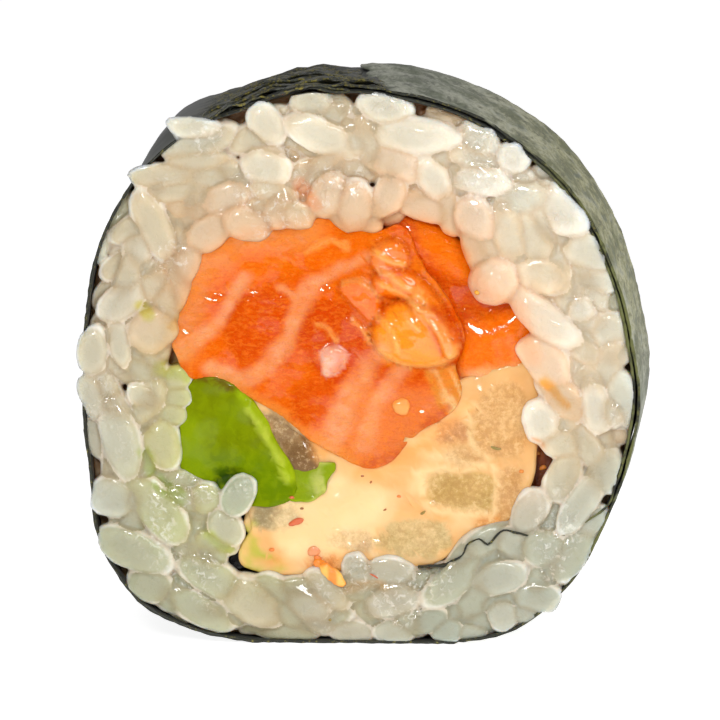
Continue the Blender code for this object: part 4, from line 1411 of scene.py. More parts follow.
# %% What is drawn on the salmon
FAT_LINES = [
    ([(-4.1, 29.6), (-5.0, 28.1), (-6.0, 25.7), (-7.7, 23.3), (-9.1, 22.0), (-10.6, 22.0), (-12.4, 22.9)],
     (0.35, 0.2), 0.9),
    ([(-9.6, 30.3), (-10.8, 28.4), (-11.7, 26.7), (-13.1, 25.3), (-15.0, 24.1)], (0.12, 0.2), 0.85),
    ([(-6.9, 29.5), (-5.2, 28.5)], (0.1, 0.2), 0.4),
    ([(-4.6, 29.2), (-2.2, 31.0), (0.2, 32.0)], (0.2, 0.1), 0.7),
    ([(1.4, 24.3), (0.2, 22.6), (-1.2, 20.2), (-2.2, 17.7), (-3.0, 16.6)], (0.2, 0.5), 1.1),
    ([(3.4, 22.8), (1.8, 21.2), (0.6, 19.0), (0.2, 16.6)], (0.1, 0.4), 0.9),
]
AMBER = [(5.4, 22.9), (8.3, 22.8), (8.7, 20.8), (8.0, 19.3), (6.6, 19.5), (5.7, 21.0)]
# Thin standing ridges: a drawn line, half its width and how softly it ends
RIDGES = [
    ([(4.6, 28.7), (6.0, 27.3), (7.0, 25.7), (7.4, 24.4)], 0.3, 0.55),
    ([(1.2, 27.4), (2.6, 26.0), (3.0, 24.4)], 0.05, 0.35), ([(3.8, 27.6), (4.6, 26.4)], 0.03, 0.3),
    ([(1.4, 31.0), (2.6, 30.6), (3.4, 29.8), (4.8, 29.3)], 0.1, 0.35),
    ([(1.1, 32.7), (2.0, 32.0), (3.4, 31.5)], 0.1, 0.35),
    ([(-1.6, 29.7), (-0.6, 30.1), (0.6, 29.6), (1.4, 28.6)], 0.08, 0.3),
    ([(1.8, 29.9), (3.6, 28.9), (5.4, 27.2)], 0.08, 0.35),
    ([(-3.9, 26.6), (-2.8, 26.0), (-2.2, 25.2)], 0.04, 0.25),
    ([(-1.0, 26.9), (0.0, 26.2), (0.7, 25.0)], 0.04, 0.25),
    ([(-4.6, 32.4), (-3.0, 33.2), (-1.4, 33.0)], 0.06, 0.4),
]
UNDERSIDE = [(-11.6, 21.6), (-7.9, 19.4), (-4.4, 17.0), (-1.2, 15.4)]
# Each lobe is a drawn loop, how far in from its outline it is still rising, and how high it stands
LOBES = [
    ([(1.0, 24.6), (0.8, 26.6), (2.2, 28.2), (4.2, 28.6), (6.4, 27.6), (8.0, 25.8), (8.0, 24.0),
      (6.8, 23.2), (4.6, 23.0), (2.6, 23.4)], 1.7, 1.9),
    ([(-2.0, 29.4), (-1.4, 30.1), (0.2, 30.0), (1.5, 28.6), (1.6, 27.2), (0.6, 26.6), (-0.3, 27.6),
      (-1.2, 28.4)], 0.9, 0.6),
    ([(0.5, 31.8), (1.2, 33.2), (3.0, 33.6), (4.0, 32.0), (3.2, 30.8), (1.4, 30.8)], 1.0, 0.8),
    ([(0.9, 30.6), (2.8, 31.2), (4.6, 30.6), (6.3, 28.8), (7.0, 27.4), (5.4, 27.6), (3.2, 28.6),
      (1.2, 29.0)], 1.0, 1.2),
    ([(5.0, 28.2), (6.6, 27.8), (8.0, 26.0), (7.9, 24.2), (7.0, 23.8), (6.2, 25.6)], 0.9, 0.5),
    ([(-9.4, 28.8), (-7.0, 28.6), (-6.4, 26.4), (-8.4, 23.8), (-10.6, 24.0), (-11.2, 26.4)], 1.8, 0.25),
    ([(-4.6, 27.4), (-3.6, 28.6), (-1.6, 27.8), (0.6, 25.4), (0.6, 23.4), (-1.6, 20.8), (-4.4, 20.4),
      (-6.6, 23.0)], 1.8, 0.25),
]
WET_LOBES = 5  # the first of them, which the sauce covers
WHITE_CHUNK = [(-3.3, 22.5), (-3.2, 24.2), (-2.3, 24.8), (-1.2, 24.2), (-1.6, 23.4), (-2.4, 22.4)]

SALMON_SLAB = [
    (-15.5, 25.2), (-14.2, 22.3), (-12.0, 21.8), (-8.5, 20.3), (-5.6, 18.3), (-3.0, 16.4), (-0.8, 15.2),
    (1.0, 14.9), (2.8, 15.9), (4.6, 18.0), (7.0, 19.4), (8.0, 21.0), (7.4, 23.2), (8.2, 25.4), (6.9, 28.2),
    (4.9, 31.0), (3.2, 34.4), (1.4, 33.9), (-2.0, 34.9), (-6.0, 35.0), (-9.8, 33.8), (-13.0, 32.2),
    (-14.5, 29.0),
]
SALMON_SIDE = [
    (8.2, 21.4), (11.0, 21.6), (13.4, 22.4), (14.0, 25.6), (12.6, 28.2), (9.8, 29.2), (8.4, 32.4),
    (5.4, 34.8), (3.0, 35.0), (2.0, 32.0), (5.0, 27.0),
]

print(len(FAT_LINES), "lines of fat,", len(RIDGES), "ridges and", len(LOBES), "lobes")

# %% The two slices of salmon
SIDE_FRONT = FRONT + 1.6  # the side strip lies back from the cut face
# The side strip bulges above and below a hollow
UPPER_BULGE = [(3.0, 35.2), (6.0, 34.6), (8.4, 32.6), (9.6, 29.9), (6.4, 29.9), (4.4, 30.8), (3.0, 32.6)]
LOWER_BULGE = [(8.0, 27.2), (10.4, 27.2), (13.8, 28.0), (14.2, 24.6), (13.2, 22.0), (8.6, 21.8), (7.4, 23.8)]
salmon_slab = slice_of(
    "salmon_slab_flesh", SALMON_SLAB, FRONT + 0.4, BACK - 0.2, triangles=150000, voxel=0.17
)
salmon_side = slice_of("salmon_side_flesh", SALMON_SIDE, SIDE_FRONT, BACK - 2.2, triangles=40000, voxel=0.18)


# %% [markdown]
# Relief on a face
#
# Only the points near the front of a slice move, and softly so, which keeps its sides and its back as
# they are. Sculpting would give the same shapes, but not twice the same. A lobe rises from its outline as
# a drop does, steeply and then level; a ridge is a drawn line that stands up.


# %% Relief on a face
def push_face(made, amount, face=FRONT):
    """Moves the points of the front face towards the viewer by an amount for each point, and softly so."""
    points, _ = read_mesh(made.data)
    facing = 1 - ease(face + 0.8, face + 3.0, points[:, 1])
    points[:, 1] -= amount(points) * facing
    made.data.vertices.foreach_set("co", (points * MM).astype(np.float32).ravel())
    made.data.update()
    return points


def fat_on(spots):
    """How much fat there is at each spot, from 0 to 1."""
    total = np.zeros(len(spots))
    for path, half, soft in FAT_LINES:
        total = np.maximum(total, line_mask(spots, path, half, soft))
    return total


def dome(spots, loop, width):
    """0 outside a drawn loop, rising steeply from its outline as a drop does, to 1 this far inside."""
    ring = curve(loop, 0.4, closed=True)
    close = nearby(spots, ring, 0.1)
    away, _ = off_line(spots[close], np.vstack([ring, ring[:1]]))
    short = 1 - np.clip(away / width, 0, 1)
    rise = np.zeros(len(spots))
    rise[close] = np.sqrt(1 - short**2) * inside(ring, spots[close])
    return rise


def slab_relief(points):
    """How far each point of the slab's face stands out."""
    spots = points[:, [0, 2]]
    wrinkled = points * (1.0, 1.0, 1.6)
    relief = (
        0.15 * ripple(points, 6.0, 41) + 0.1 * mottle(wrinkled, 1.5, 42) + 0.06 * mottle(wrinkled, 0.6, 45)
    )
    relief += 0.05 * mottle(points, 0.36, 48) * ease(-0.1, 0.4, mottle(points, 3.0, 49))
    relief -= 0.1 * fat_on(spots)
    for loop, width, height in LOBES:
        relief += height * dome(spots, loop, width)
    for path, half, soft in RIDGES:
        relief += (0.06 + 2.2 * half) * line_mask(spots, path, half, soft)
    return relief + 0.5 * dome(spots, WHITE_CHUNK, 0.7)


def side_relief(points):
    """How far each point of the side strip's face stands out."""
    spots = points[:, [0, 2]]
    upper = dome(spots, UPPER_BULGE, 2.4)
    lower = dome(spots, LOWER_BULGE, 2.2)
    return 0.9 * upper + lower + 0.09 * mottle(points, 1.5, 43) + 0.05 * mottle(points, 0.6, 46)


# %% The relief of both slices
slab_points = push_face(salmon_slab, slab_relief)
side_points = push_face(salmon_side, side_relief, SIDE_FRONT)
print("the lobes stand out to", round(slab_points[:, 1].min(), 2), "mm, the cut face is at", round(FRONT, 2))

# %% [markdown]
# The colours of salmon
#
# The flesh is deep orange where it is thick, and yellower where it is thin and the light comes through,
# as in the lobes. Fat is a pale pinkish orange, never white. The tones are laid over each other from the
# widest to the smallest.

# %% The colours of salmon
ORANGE = paint(226, 88, 0)
BRIGHT_ORANGE = paint(240, 112, 0)
DEEP_ORANGE = paint(208, 62, 0)
YELLOW_ORANGE = paint(252, 154, 20)
FAT = paint(240, 158, 104)
PALE_EDGE = paint(236, 152, 80)
# Each patch is a loop, its tone and its share
PATCHES = [
    ([(-9.4, 28.8), (-7.0, 28.6), (-6.6, 26.4), (-8.4, 24.0), (-10.2, 24.2), (-11.0, 26.4)],
     DEEP_ORANGE, 0.5),
    ([(-4.4, 27.0), (-2.6, 27.8), (-0.4, 27.4), (0.8, 25.4), (0.4, 23.6), (-1.4, 21.6), (-4.4, 24.0)],
     DEEP_ORANGE, 0.75),
    ([(-5.4, 20.6), (-2.2, 21.8), (-2.4, 18.4), (-4.6, 18.4)], DEEP_ORANGE, 0.4),
    ([(1.4, 23.0), (4.4, 22.6), (4.2, 21.2), (2.0, 21.2)], DEEP_ORANGE, 0.4),
    ([(1.0, 24.8), (1.2, 27.2), (3.6, 28.2), (5.4, 26.2), (6.6, 24.2), (4.6, 23.2), (2.6, 23.6)],
     YELLOW_ORANGE, 0.85),
    ([(-2.0, 29.4), (-1.0, 30.1), (0.4, 29.8), (1.6, 28.4), (1.2, 26.8), (0.2, 26.9), (-1.0, 28.4)],
     BRIGHT_ORANGE, 0.8),
    ([(0.8, 32.0), (2.6, 33.4), (4.6, 31.0), (6.6, 28.6), (3.6, 28.6), (1.4, 30.0)], YELLOW_ORANGE,
     0.35),
]
print(len(PATCHES), "patches on the salmon")


# %% Laying the colours of salmon
def salmon_colours(points):
    """The slab's tone at each point, widest patches first."""
    spots = warped(points)
    colours = np.tile(ORANGE, (len(points), 1))
    colours = lay(colours, 0.4 * ease(-0.6, 1.0, ripple(points, 5.0, 44)), BRIGHT_ORANGE)
    top = [(-11.0, 31.4), (-6.0, 32.6), (0.0, 33.4)]
    colours = lay(colours, 0.6 * line_mask(spots, top, 0.8, 2.6), BRIGHT_ORANGE)
    for loop, tone, share in PATCHES:
        colours = lay(colours, share * loop_mask(spots, loop, 0.9), tone)
    pale = loop_mask(spots, [(-1.0, 20.4), (4.4, 20.4), (6.2, 19.4), (2.4, 15.6), (-2.6, 16.4)], 1.5)
    colours = lay(colours, 0.6 * pale, paint(238, 142, 80))
    amber = loop_mask(spots, AMBER, 0.3)
    slanted = 1.1 * (points[:, 0] + 0.45 * points[:, 2])
    stretched = np.stack([slanted, points[:, 2] / 5, points[:, 1] / 5], axis=1)
    strings = ease(-0.3, 0.6, mottle(stretched, 0.45, 59))
    colours = lay(colours, 0.9 * amber, paint(226, 142, 52))
    colours = lay(colours, 0.6 * amber * strings, paint(250, 212, 150))
    # Painted shade: a thin darker line round each wet lobe, where it rises from the flesh
    for loop, _, _ in LOBES[:WET_LOBES]:
        outline = line_mask(points[:, [0, 2]], [*loop, loop[0]], 0.06, 0.35)
        colours = lay(colours, 0.6 * outline, paint(204, 62, 0))
    # Paler tone along the ridges: the thin veins are pale of themselves, and on the wider ridges the paler
    # tone is also a painted highlight
    for path, half, soft in RIDGES:
        colours = lay(colours, 0.55 * line_mask(spots, path, half, soft), paint(252, 178, 92))
    broken = 0.8 + 0.3 * mottle(points, 0.8, 57)
    colours = lay(colours, np.clip(broken, 0, 1) * fat_on(spots), FAT)
    edge = [(-14.8, 24.6), (-14.2, 28.6), (-12.8, 31.4), (-9.8, 33.6), (-4.4, 34.2)]
    colours = lay(colours, 0.6 * line_mask(spots, edge, 0.4, 2.0), PALE_EDGE)
    colours = lay(colours, 0.6 * line_mask(spots, UNDERSIDE, 0.3, 0.9), paint(244, 146, 62))
    lip = [(1.6, 24.4), (2.8, 23.6), (4.6, 23.2), (6.8, 23.5), (7.9, 24.6)]
    colours = lay(colours, 0.7 * line_mask(spots, lip, 0.1, 0.4), paint(252, 190, 110))
    foot_rim = [(1.0, 15.2), (2.6, 15.7), (4.4, 16.8), (5.5, 18.2), (6.9, 19.6)]
    colours = lay(colours, 0.65 * line_mask(spots, foot_rim, (0.15, 0.2), 0.5), paint(204, 84, 40))
    chunk = loop_mask(spots, WHITE_CHUNK, 0.25) * (0.65 + 0.35 * mottle(points, 0.6, 58))
    return lay(colours, chunk, paint(240, 196, 170))


def side_colours(points):
    """The side strip's tone at each point."""
    spots = warped(points)
    colours = np.tile(BRIGHT_ORANGE, (len(points), 1))
    # Painted shade in the seam where the side strip goes in behind the slab
    seam_shade = [(3.2, 34.8), (3.8, 32.6), (5.2, 30.4)]
    colours = lay(colours, 0.9 * line_mask(spots, seam_shade, (0.3, 0.6), 1.4), paint(214, 66, 0))
    # Painted shade in the hollow between the two bulges
    hollow = [(5.6, 29.9), (9.4, 29.6), (12.8, 28.9), (10.6, 27.6), (8.4, 27.0), (7.8, 25.4)]
    colours = lay(colours, 0.9 * loop_mask(spots, hollow, 0.7), paint(214, 78, 0))
    pale = line_mask(spots, [(8.6, 22.0), (10.9, 22.2), (13.4, 22.6)], 0.35, 0.9)
    return lay(colours, 0.8 * pale, paint(246, 178, 116))


# %% Painting both slices
carry(salmon_slab, "flesh", salmon_colours(slab_points))
carry(salmon_slab, "fat", fat_on(slab_points[:, [0, 2]]))
slab_wet = sum(dome(slab_points[:, [0, 2]], loop, width) for loop, width, _ in LOBES[:WET_LOBES])
carry(salmon_slab, "wetness", np.clip(slab_wet + dome(slab_points[:, [0, 2]], WHITE_CHUNK, 0.5), 0, 1))
carry(salmon_side, "wetness", np.full(len(side_points), 0.12))
carry(salmon_side, "flesh", side_colours(side_points))
carry(salmon_side, "fat", np.zeros(len(side_points)))


# %% [markdown]
# The finish of salmon
#
# Light sinks into the flesh and comes back redder, so the red scatters furthest. Fine fibres cross the
# leaves. The lobes are wet all over, the rest only in patches: that is a clear coat whose weight follows
# the drawing, with the fibres' relief filled up where the film is thick.


# %% The finish of salmon
def salmon_finish():
    """Raw fish, wet where its points say so."""
    finish = Finish(
        "salmon", IOR=1.4, Subsurface_Weight=0.3, Subsurface_Radius=(1.0, 0.35, 0.05), Subsurface_Scale=0.002,
        Coat_Roughness=0.05, Coat_IOR=1.65, Specular_IOR_Level=0.03,
    )
    fibres = finish.noise(0.4, detail=5.0, rough=0.65, stretch=(0.7, 0.3, 1.3), twist=0.5)
    speckle = finish.noise(0.2, detail=2.0, rough=0.7)
    film = finish.noise(3.0, detail=2.0)
    fat = finish.painted("fat")
    colour = finish.painted("flesh", colour=True)
    wetness = finish.painted("wetness")
    colour = finish.mix(fibres.between(0.42, 0.66) * 0.4, colour, paint(250, 140, 40))
    colour = finish.mix(speckle.between(0.5, 0.7) * 0.2, colour, paint(232, 150, 90), blend="MULTIPLY")
    height = fibres * 0.6 + speckle * 0.4
    return finish.feed(
        base_color=colour,
        roughness=0.34 + 0.2 * fibres + 0.1 * fat,
        coat_weight=0.02 + 0.4 * film.between(0.5, 0.6) + 0.75 * wetness,
        normal=finish.bump(height * (1.0 - 0.75 * wetness), 0.35),
    )


salmon = salmon_finish()
dress(salmon_slab, salmon, "salmon", "salmon_slab")
dress(salmon_side, salmon, "salmon", "salmon_side")

# %% [markdown]
# Avocado
#
# A ripe slice is smooth and buttery: yellow-green, darker towards the skin, with a sheen rather than a
# gloss, and soft scratches where the knife dragged.

# %% Avocado
AVOCADO = [
    (-14.8, 14.2), (-12.2, 13.2), (-11.8, 11.8), (-9.4, 11.6), (-7.4, 11.6), (-6.0, 12.2), (-5.8, 13.8),
    (-7.2, 16.4), (-8.4, 18.8), (-10.0, 20.6), (-11.6, 21.6), (-14.2, 21.4), (-14.7, 17.6),
]
AVOCADO_BIT = [
    (-6.2, 12.2), (-5.0, 11.7), (-4.0, 12.0), (-3.2, 12.6), (-3.0, 13.8), (-2.5, 14.8), (-3.6, 14.6),
    (-4.6, 14.1), (-6.2, 14.0),
]
AVOCADO_EDGE = [(-9.4, 19.6), (-8.2, 17.6), (-7.0, 15.4), (-6.2, 13.6)]
NOTCH = [(-11.8, 13.2), (-11.2, 13.8), (-10.2, 14.0)]
# Each stroke is a line, half its width, its softness, its tone and its share
AVOCADO_STROKES = [
    ([(-14.0, 14.4), (-6.4, 12.6)], 0.6, 2.6, paint(88, 120, 0), 0.6),
    ([(-9.6, 20.6), (-7.4, 17.4), (-5.8, 13.8)], 0.15, 0.8, paint(150, 170, 16), 1.0),
    # The notch is painted nearly black-green: painted shade in its hollow
    (NOTCH, 0.35, 0.4, paint(24, 56, 4), 0.85),
    ([(-14.4, 18.0), (-13.8, 14.6)], 0.5, 1.2, paint(150, 172, 20), 0.35),
    # A painted highlight along the raised cut edge
    (AVOCADO_EDGE, 0.1, 0.3, paint(186, 196, 70), 0.7),
    # A painted shadow in the gap between the top of the avocado and the fish
    ([(-14.6, 21.9), (-12.6, 21.9), (-10.6, 21.2)], 0.2, 0.3, paint(96, 64, 10), 0.7),
]
avocado = slice_of("avocado_slice", AVOCADO, FRONT + 0.3, BACK - 0.4, triangles=30000)
avocado_bit = slice_of(
    "avocado_piece", AVOCADO_BIT, FRONT + 0.36, BACK - 0.3, triangles=14000, grow=0.1, voxel=0.15, ragged=0.4
)


def avocado_colours(points):
    """The avocado's tone at each point."""
    spots = warped(points)
    colours = np.tile(paint(112, 124, 0), (len(points), 1))
    colours = lay(colours, 0.5 * ease(-0.4, 1.0, ripple(points, 5.0, 51)), paint(124, 148, 0))
    for path, half, soft, tone, share in AVOCADO_STROKES:
        colours = lay(colours, share * line_mask(spots, path, half, soft), tone)
    return colours


# %% The finish and relief of avocado
def avocado_finish():
    """Buttery green flesh with soft streaks."""
    finish = Finish(
        "avocado", IOR=1.42, Subsurface_Weight=0.3, Subsurface_Radius=(0.7, 1.0, 0.1),
        Subsurface_Scale=0.0013, Coat_Roughness=0.12, Specular_IOR_Level=0.03,
    )
    streaks = finish.noise(1.0, detail=4.0, rough=0.6, stretch=(1.0, 0.3, 1.0), twist=0.3)
    cloud = finish.noise(2.5, detail=2.0)
    colour = finish.painted("flesh", colour=True)
    colour = finish.mix(streaks.between(0.42, 0.62) * 0.4, colour, paint(134, 152, 2))
    return finish.feed(
        base_color=colour,
        roughness=0.32 + 0.2 * cloud,
        coat_weight=0.25 * cloud.between(0.45, 0.65),
        normal=finish.bump(streaks, 0.16),
    )


def avocado_relief(points):
    """The avocado's bumps, its cut edge and its notch."""
    spots = points[:, [0, 2]]
    relief = 0.12 * ripple(points, 3.5, 52) + 0.07 * mottle(points, 1.3, 54) + 0.03 * mottle(points, 0.5, 55)
    relief += 0.3 * line_mask(spots, AVOCADO_EDGE, 0.1, 0.45)
    return relief - 0.6 * line_mask(spots, NOTCH, 0.3, 0.4)


def bit_relief(points):
    """The bumps of the small scrap."""
    return 0.1 * ripple(points, 2.0, 53) + 0.14 * mottle(points, 0.8, 56)


# %% The avocado
avocado_points = push_face(avocado, avocado_relief)
bit_points = push_face(avocado_bit, bit_relief)
carry(avocado, "flesh", avocado_colours(avocado_points))
bit_tone = np.tile(paint(132, 152, 24), (len(bit_points), 1))
bit_pale = ease(-0.1, 0.5, mottle(bit_points, 1.0, 60))
carry(avocado_bit, "flesh", lay(bit_tone, 0.7 * bit_pale, paint(196, 196, 110)))
green = avocado_finish()
dress(avocado, green, "avocado", "avocado")
dress(avocado_bit, green, "avocado", "avocado_bit")
print("avocado is painted with", len(AVOCADO_STROKES), "strokes")

# %% [markdown]
# Cream and cucumber
#
# The sauce is an egg cream with chilli in it. It has run round the cut sticks of cucumber and covers
# their rims, so from the front they are clear, speckled windows in a smooth pale face. Both pieces carry
# the same drawing: cream colour away from the windows, a greyish tan inside them.

# %% What is drawn on the cream
CUCUMBERS = {
    "cucumber_top": [(-5.8, 14.3), (-3.7, 14.7), (-4.8, 16.8), (-8.2, 18.9), (-6.9, 16.4)],
    "cucumber_left": [(-9.2, 8.8), (-5.0, 9.0), (-4.6, 10.4), (-7.4, 11.2), (-9.4, 11.0)],
    "cucumber_low": [(-2.6, 8.2), (2.4, 7.2), (6.2, 7.8), (7.4, 9.8), (3.4, 11.2), (-0.6, 10.2)],
    "cucumber_mid": [(5.6, 12.0), (9.2, 11.0), (10.8, 12.0), (10.9, 14.4), (5.2, 14.4)],
    "cucumber_side": [(11.5, 11.0), (12.8, 11.6), (12.9, 14.4), (11.6, 14.6)],
    "cucumber_right": [(8.6, 17.4), (11.2, 15.4), (13.6, 16.0), (13.4, 21.6), (10.0, 20.9), (9.0, 19.4)],
}
CREAM = [
    (-10.0, 7.6), (-9.2, 6.2), (-4.8, 5.8), (-2.0, 6.2), (2.2, 6.1), (6.0, 6.9), (9.2, 9.6), (12.4, 10.9),
    (14.0, 15.4), (13.8, 22.6), (9.6, 22.2), (6.2, 20.6), (1.6, 17.4), (-3.4, 18.2), (-7.8, 21.2),
    (-9.4, 20.0), (-7.8, 15.0), (-8.4, 12.0), (-9.2, 11.2), (-8.9, 9.4),
]
# Each window is a loop, its tone and its share
WINDOWS = [
    ([(-8.8, 9.8), (-6.8, 9.6), (-5.4, 10.6), (-6.4, 11.2), (-8.4, 11.2)], paint(150, 138, 100), 0.9),
    ([(-2.4, 8.4), (-0.6, 7.8), (0.9, 8.2), (0.2, 9.0), (-2.0, 9.0)], paint(182, 158, 128), 0.7),
    ([(1.4, 8.4), (4.6, 7.3), (7.0, 8.2), (6.6, 9.8), (3.2, 9.9)], paint(188, 172, 118), 0.7),
    ([(5.6, 12.6), (6.6, 11.5), (8.6, 11.2), (10.3, 11.4), (10.4, 13.7), (8.4, 13.9), (6.0, 13.9)],
     paint(190, 156, 86), 0.85),
    ([(11.4, 10.6), (12.6, 11.0), (12.8, 14.2), (11.6, 14.2)], paint(204, 154, 94), 0.75),
    ([(7.0, 15.6), (8.6, 15.0), (9.8, 15.6), (8.6, 16.2)], paint(206, 162, 104), 0.6),
    ([(6.2, 17.0), (7.4, 16.8), (8.6, 17.2), (8.2, 18.2), (6.8, 18.2)], paint(200, 142, 92), 0.75),
    ([(9.6, 16.4), (12.8, 16.0), (13.4, 19.4), (12.6, 21.4), (10.6, 21.0), (9.4, 19.0)],
     paint(214, 166, 104), 0.75),
    ([(9.4, 9.4), (11.0, 9.8), (11.2, 10.4), (9.8, 10.3)], paint(236, 150, 60), 0.6),
    ([(-4.2, 6.4), (-2.4, 4.9), (-1.4, 5.6), (-2.6, 7.2)], paint(238, 150, 60), 0.6),
    ([(-5.6, 14.2), (-3.6, 14.7), (-4.8, 16.9), (-7.8, 18.9), (-6.8, 16.4)], paint(120, 88, 50), 0.95),
]
# Where the film of cream is thickest, on the rims of the sticks
PALE_LINES = [
    [(4.6, 14.2), (6.2, 14.7), (8.6, 14.5), (10.8, 14.7)], [(10.9, 14.8), (11.0, 12.4), (10.8, 10.4)],
    [(5.0, 14.0), (5.0, 12.4), (6.0, 11.2), (8.2, 10.8), (10.4, 10.8)],
    [(3.0, 16.7), (5.2, 17.3), (6.0, 18.6), (9.0, 19.8)], [(5.2, 16.0), (7.0, 15.5), (9.9, 14.9)],
    [(9.0, 18.8), (9.2, 16.6), (10.4, 15.3)], [(0.8, 9.4), (1.0, 7.8), (2.0, 7.0)],
]
CREAM_TONE = paint(230, 174, 108)
CREAM_LIGHT = paint(240, 206, 152)
print(len(WINDOWS), "windows in the cream")


# %% The colours of cream
def cream_colours(points):
    """The tone of the cream, or of the cucumber seen through it."""
    spots = warped(points, 0.35)
    colours = np.tile(CREAM_TONE, (len(points), 1))
    colours = lay(colours, 0.6 * ease(-0.2, 1.0, ripple(points, 4.5, 61)), CREAM_LIGHT)
    colours = lay(colours, 0.6 * ease(9.0, 14.0, spots[:, 0] * 0.6 + spots[:, 1] * 0.5), paint(218, 162, 96))
    for loop, tone, share in WINDOWS:
        colours = lay(colours, share * loop_mask(spots, loop, 0.55), tone)
    for path in PALE_LINES:
        colours = lay(colours, 0.6 * line_mask(spots, path, 0.1, 0.35), paint(240, 208, 154))
    streaky = np.clip(0.6 + 0.8 * mottle(points, 0.9, 67), 0, 1)
    oily = line_mask(spots, [(-9.3, 9.2), (-9.5, 7.6), (-8.6, 6.6), (-6.8, 6.4)], 0.3, 0.8)
    colours = lay(colours, oily * streaky, paint(178, 180, 52))
    oily = line_mask(spots, [(-8.0, 7.2), (-5.8, 6.6), (-3.6, 6.6)], 0.2, 1.0)
    colours = lay(colours, 0.9 * oily * (1.0 - streaky), paint(228, 122, 32))
    # A painted highlight: a paler patch of cream at the left
    painted_highlight = [(-6.5, 8.4), (-5.4, 11.8), (-2.0, 13.0), (1.0, 12.2), (0.2, 9.6), (-3.0, 7.8)]
    colours = lay(colours, 0.6 * loop_mask(spots, painted_highlight, 1.5), paint(248, 220, 166))
    # A painted orange glow beside the fish's lower edge, as light through the fish
    glow = line_mask(spots, [(-3.4, 16.6), (0.6, 14.4), (4.0, 16.2), (8.0, 19.6)], 0.1, 1.6)
    return lay(colours, 0.6 * glow, paint(244, 164, 82))


# %% [markdown]
# The finish of cream
#
# An egg sauce is cloudy and softly glossy. Through the thin film over the cucumber its seeds and pulp
# show as speckles, so the finish reads from the mesh where the windows are, and roughens them a little.


# %% The finish of cream
def cream_finish():
    """Cloudy sauce, speckled in its windows."""
    finish = Finish(
        "cream", IOR=1.42, Subsurface_Weight=0.4, Subsurface_Radius=(1.0, 0.7, 0.4), Subsurface_Scale=0.0016,
        Coat_Roughness=0.12, Specular_IOR_Level=0.12,
    )
    swirl = finish.noise(2.4, detail=3.0, twist=0.6)
    speckle = finish.noise(0.18, detail=2.0, rough=0.7)
    window = finish.painted("window")
    colour = finish.painted("flesh", colour=True)
    grains = finish.noise(0.45, detail=4.0, rough=0.75)
    colour = finish.mix(swirl.between(0.35, 0.7) * 0.25, colour, paint(248, 206, 146))
    dark_specks = window * grains.between(0.44, 0.6) * 0.3
    colour = finish.mix(dark_specks, colour, paint(196, 160, 116), blend="MULTIPLY")
    pale_specks = window * grains.between(0.46, 0.34) * 0.3
    colour = finish.mix(pale_specks, colour, paint(246, 216, 166))
    return finish.feed(
        base_color=colour,
        roughness=0.32 + 0.2 * swirl,
        coat_weight=0.25 + 0.3 * swirl,
        normal=finish.bump(swirl * 0.5 + window * speckle * 0.5, 0.2),
    )


def windows_on(spots):
    """How much cucumber shows at each spot, from 0 to 1."""
    total = np.zeros(len(spots))
    for loop, _, _ in WINDOWS:
        total = np.maximum(total, loop_mask(spots, loop, 0.5))
    return total


# %% The cream and the sticks of cucumber
cream_skin = cream_finish()
cream = slice_of("cream_filling", CREAM, FRONT + 0.8, BACK - 0.5, triangles=90000)


def cream_relief(points):
    """The cream's swells; what the slab covers is pushed back."""
    spots = points[:, [0, 2]]
    covered = inside(shifted(curve(SALMON_SLAB, 0.3, closed=True), 0.5, closed=True), spots)
    relief = (
        0.1 + 0.15 * ripple(points, 4.5, 62) + 0.08 * mottle(points, 1.6, 63)
        + 0.03 * mottle(points, 0.6, 64)
    )
    for path in PALE_LINES:
        relief += 0.1 * line_mask(spots, path, 0.1, 0.4)
    return relief - 1.2 * covered


cream_points = push_face(cream, cream_relief)
carry(cream, "flesh", cream_colours(cream_points))
carry(cream, "window", windows_on(cream_points[:, [0, 2]]))
dress(cream, cream_skin, "cream", "cream")
for name, loop in CUCUMBERS.items():
    near = FRONT + (0.7 if name == "cucumber_top" else 1.0)
    stick = slice_of(name + "_stick", loop, near, BACK - 0.3, triangles=12000, grow=0.1)
    stick_points = push_face(stick, cream_relief)
    carry(stick, "flesh", cream_colours(stick_points))
    carry(stick, "window", windows_on(stick_points[:, [0, 2]]))
    dress(stick, cream_skin, "cucumber", name)

# %% [markdown]
# Flakes and drops
#
# Chilli and pepper from the sauce, and drops of its yellow oil, lie on the cut where they fell: each is a
# small flattened drop of its own colour, half sunk into whatever surface is under it, which is found by
# looking straight in at the face. Where oil has run down, a few drops are fused into one.

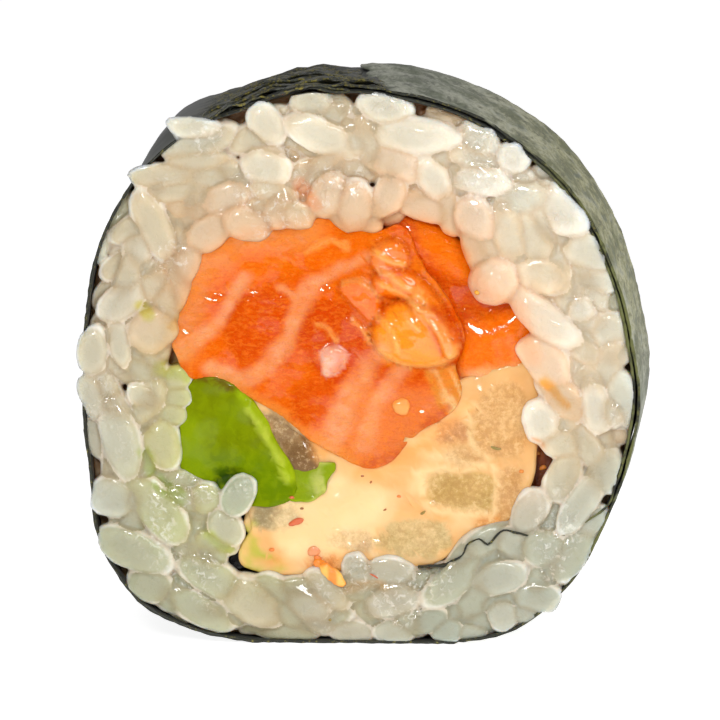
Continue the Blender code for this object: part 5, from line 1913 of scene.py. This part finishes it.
# %% Flakes and drops
# Each is (x, z, length, width, angle, tone)
FLAKES = [
    (3.2, 19.7, 1.5, 1.35, 0, (240, 150, 64)), (-5.5, 10.0, 1.3, 0.55, 20, (200, 74, 40)),
    (-4.0, 7.6, 1.1, 0.8, 0, (224, 140, 96)), (-7.5, 7.7, 0.5, 0.3, 10, (226, 116, 30)),
    (-3.3, 6.6, 0.5, 0.3, -20, (222, 110, 30)), (-3.7, 7.0, 0.7, 0.5, -30, (230, 110, 24)),
    (1.0, 5.7, 0.8, 0.16, -30, (180, 40, 24)), (3.0, 12.2, 0.35, 0.22, 0, (222, 110, 30)),
    (1.85, 11.1, 0.3, 0.16, 30, (140, 70, 30)), (0.0, 13.9, 0.3, 0.16, 0, (150, 74, 30)),
    (0.7, 13.4, 0.26, 0.16, 60, (150, 74, 30)), (-5.8, 12.1, 0.4, 0.24, 0, (206, 80, 40)),
    (-5.0, 11.15, 0.3, 0.2, 0, (120, 66, 36)), (5.0, 10.9, 0.5, 0.22, 30, (112, 108, 40)),
    (11.0, 16.3, 0.9, 0.22, -12, (108, 112, 44)), (14.8, 14.5, 0.6, 0.4, 20, (220, 130, 36)),
    (13.1, 14.4, 0.4, 0.3, 0, (216, 122, 30)), (14.4, 15.7, 0.4, 0.3, 0, (220, 130, 36)),
    (9.5, 29.3, 0.45, 0.4, 0, (226, 160, 30)), (-2.65, 2.0, 0.3, 0.26, 0, (112, 104, 36)),
]
# Drops of oil that have run into one: x, z, length, width and angle
DRIP = [
    (-3.5, 6.5, 1.3, 0.9, -30), (-2.9, 6.1, 1.5, 1.0, -50), (-2.3, 5.7, 1.5, 1.1, -20),
    (-1.9, 5.2, 1.3, 0.8, -20),
]
looked_at = [
    BVHTree.FromObject(made, bpy.context.evaluated_depsgraph_get())
    for made in (cream, salmon_slab, salmon_side, rice_front, avocado, avocado_bit)
]

print(len(looked_at), "surfaces that something can lie on")


# %% Looking in at the face
def surface_at(x, z):
    """The depth at which a look straight in at the face first meets something."""
    start = Vector((x, FRONT - 20, z)) * MM
    hits = [tree.ray_cast(start, Vector((0, 1, 0)))[0] for tree in looked_at]
    return min(hit.y / MM for hit in hits if hit is not None)


# %% The flakes and the drip
flake_parts = []
flake_tones = []
for x, z, length, width, angle, tone in FLAKES:
    thick = 0.95 if width > 1.1 else min(width, 0.5)
    flake_parts.append(grain(x, surface_at(x, z) - 0.05, z, length, width, angle, 0.0, 2.4))
    flat = flake_parts[-1][0]
    flat[:, 1] = surface_at(x, z) + (flat[:, 1] - flat[:, 1].mean()) * thick / width
    flake_tones.append(np.tile(paint(*tone), (len(flat), 1)))
flakes = write_mesh("sauce_flakes", *poured(flake_parts))
carry(flakes, "flesh", np.vstack(flake_tones))
flake_finish = Finish("flakes", IOR=1.4, Subsurface_Weight=0.2, Subsurface_Scale=0.0006, Coat_Roughness=0.1)
flake_grit = flake_finish.noise(0.3)
flake_tone = flake_finish.painted("flesh", colour=True)
flake_skin = flake_finish.feed(
    base_color=flake_finish.mix(flake_grit * 0.3, flake_tone, paint(240, 170, 80)),
    roughness=0.25 + 0.3 * flake_grit,
    coat_weight=0.5 + 0.3 * flake_grit,
)
dress(flakes, flake_skin, "cream")
drip_parts = [grain(x, surface_at(x, z) - 0.1, z, *size, 0.0, 2.4) for x, z, *size in DRIP]
drip = fused("sauce_drip", drip_parts, 0.1, 6, 8000)
drip_points, _ = read_mesh(drip.data)
oily = np.tile(paint(238, 132, 24), (len(drip_points), 1))
carry(drip, "flesh", lay(oily, ease(-0.2, 0.5, mottle(drip_points, 0.7, 66)), paint(244, 188, 84)))
dress(drip, flake_skin, "cream")
print(len(FLAKES), "flakes and drops")
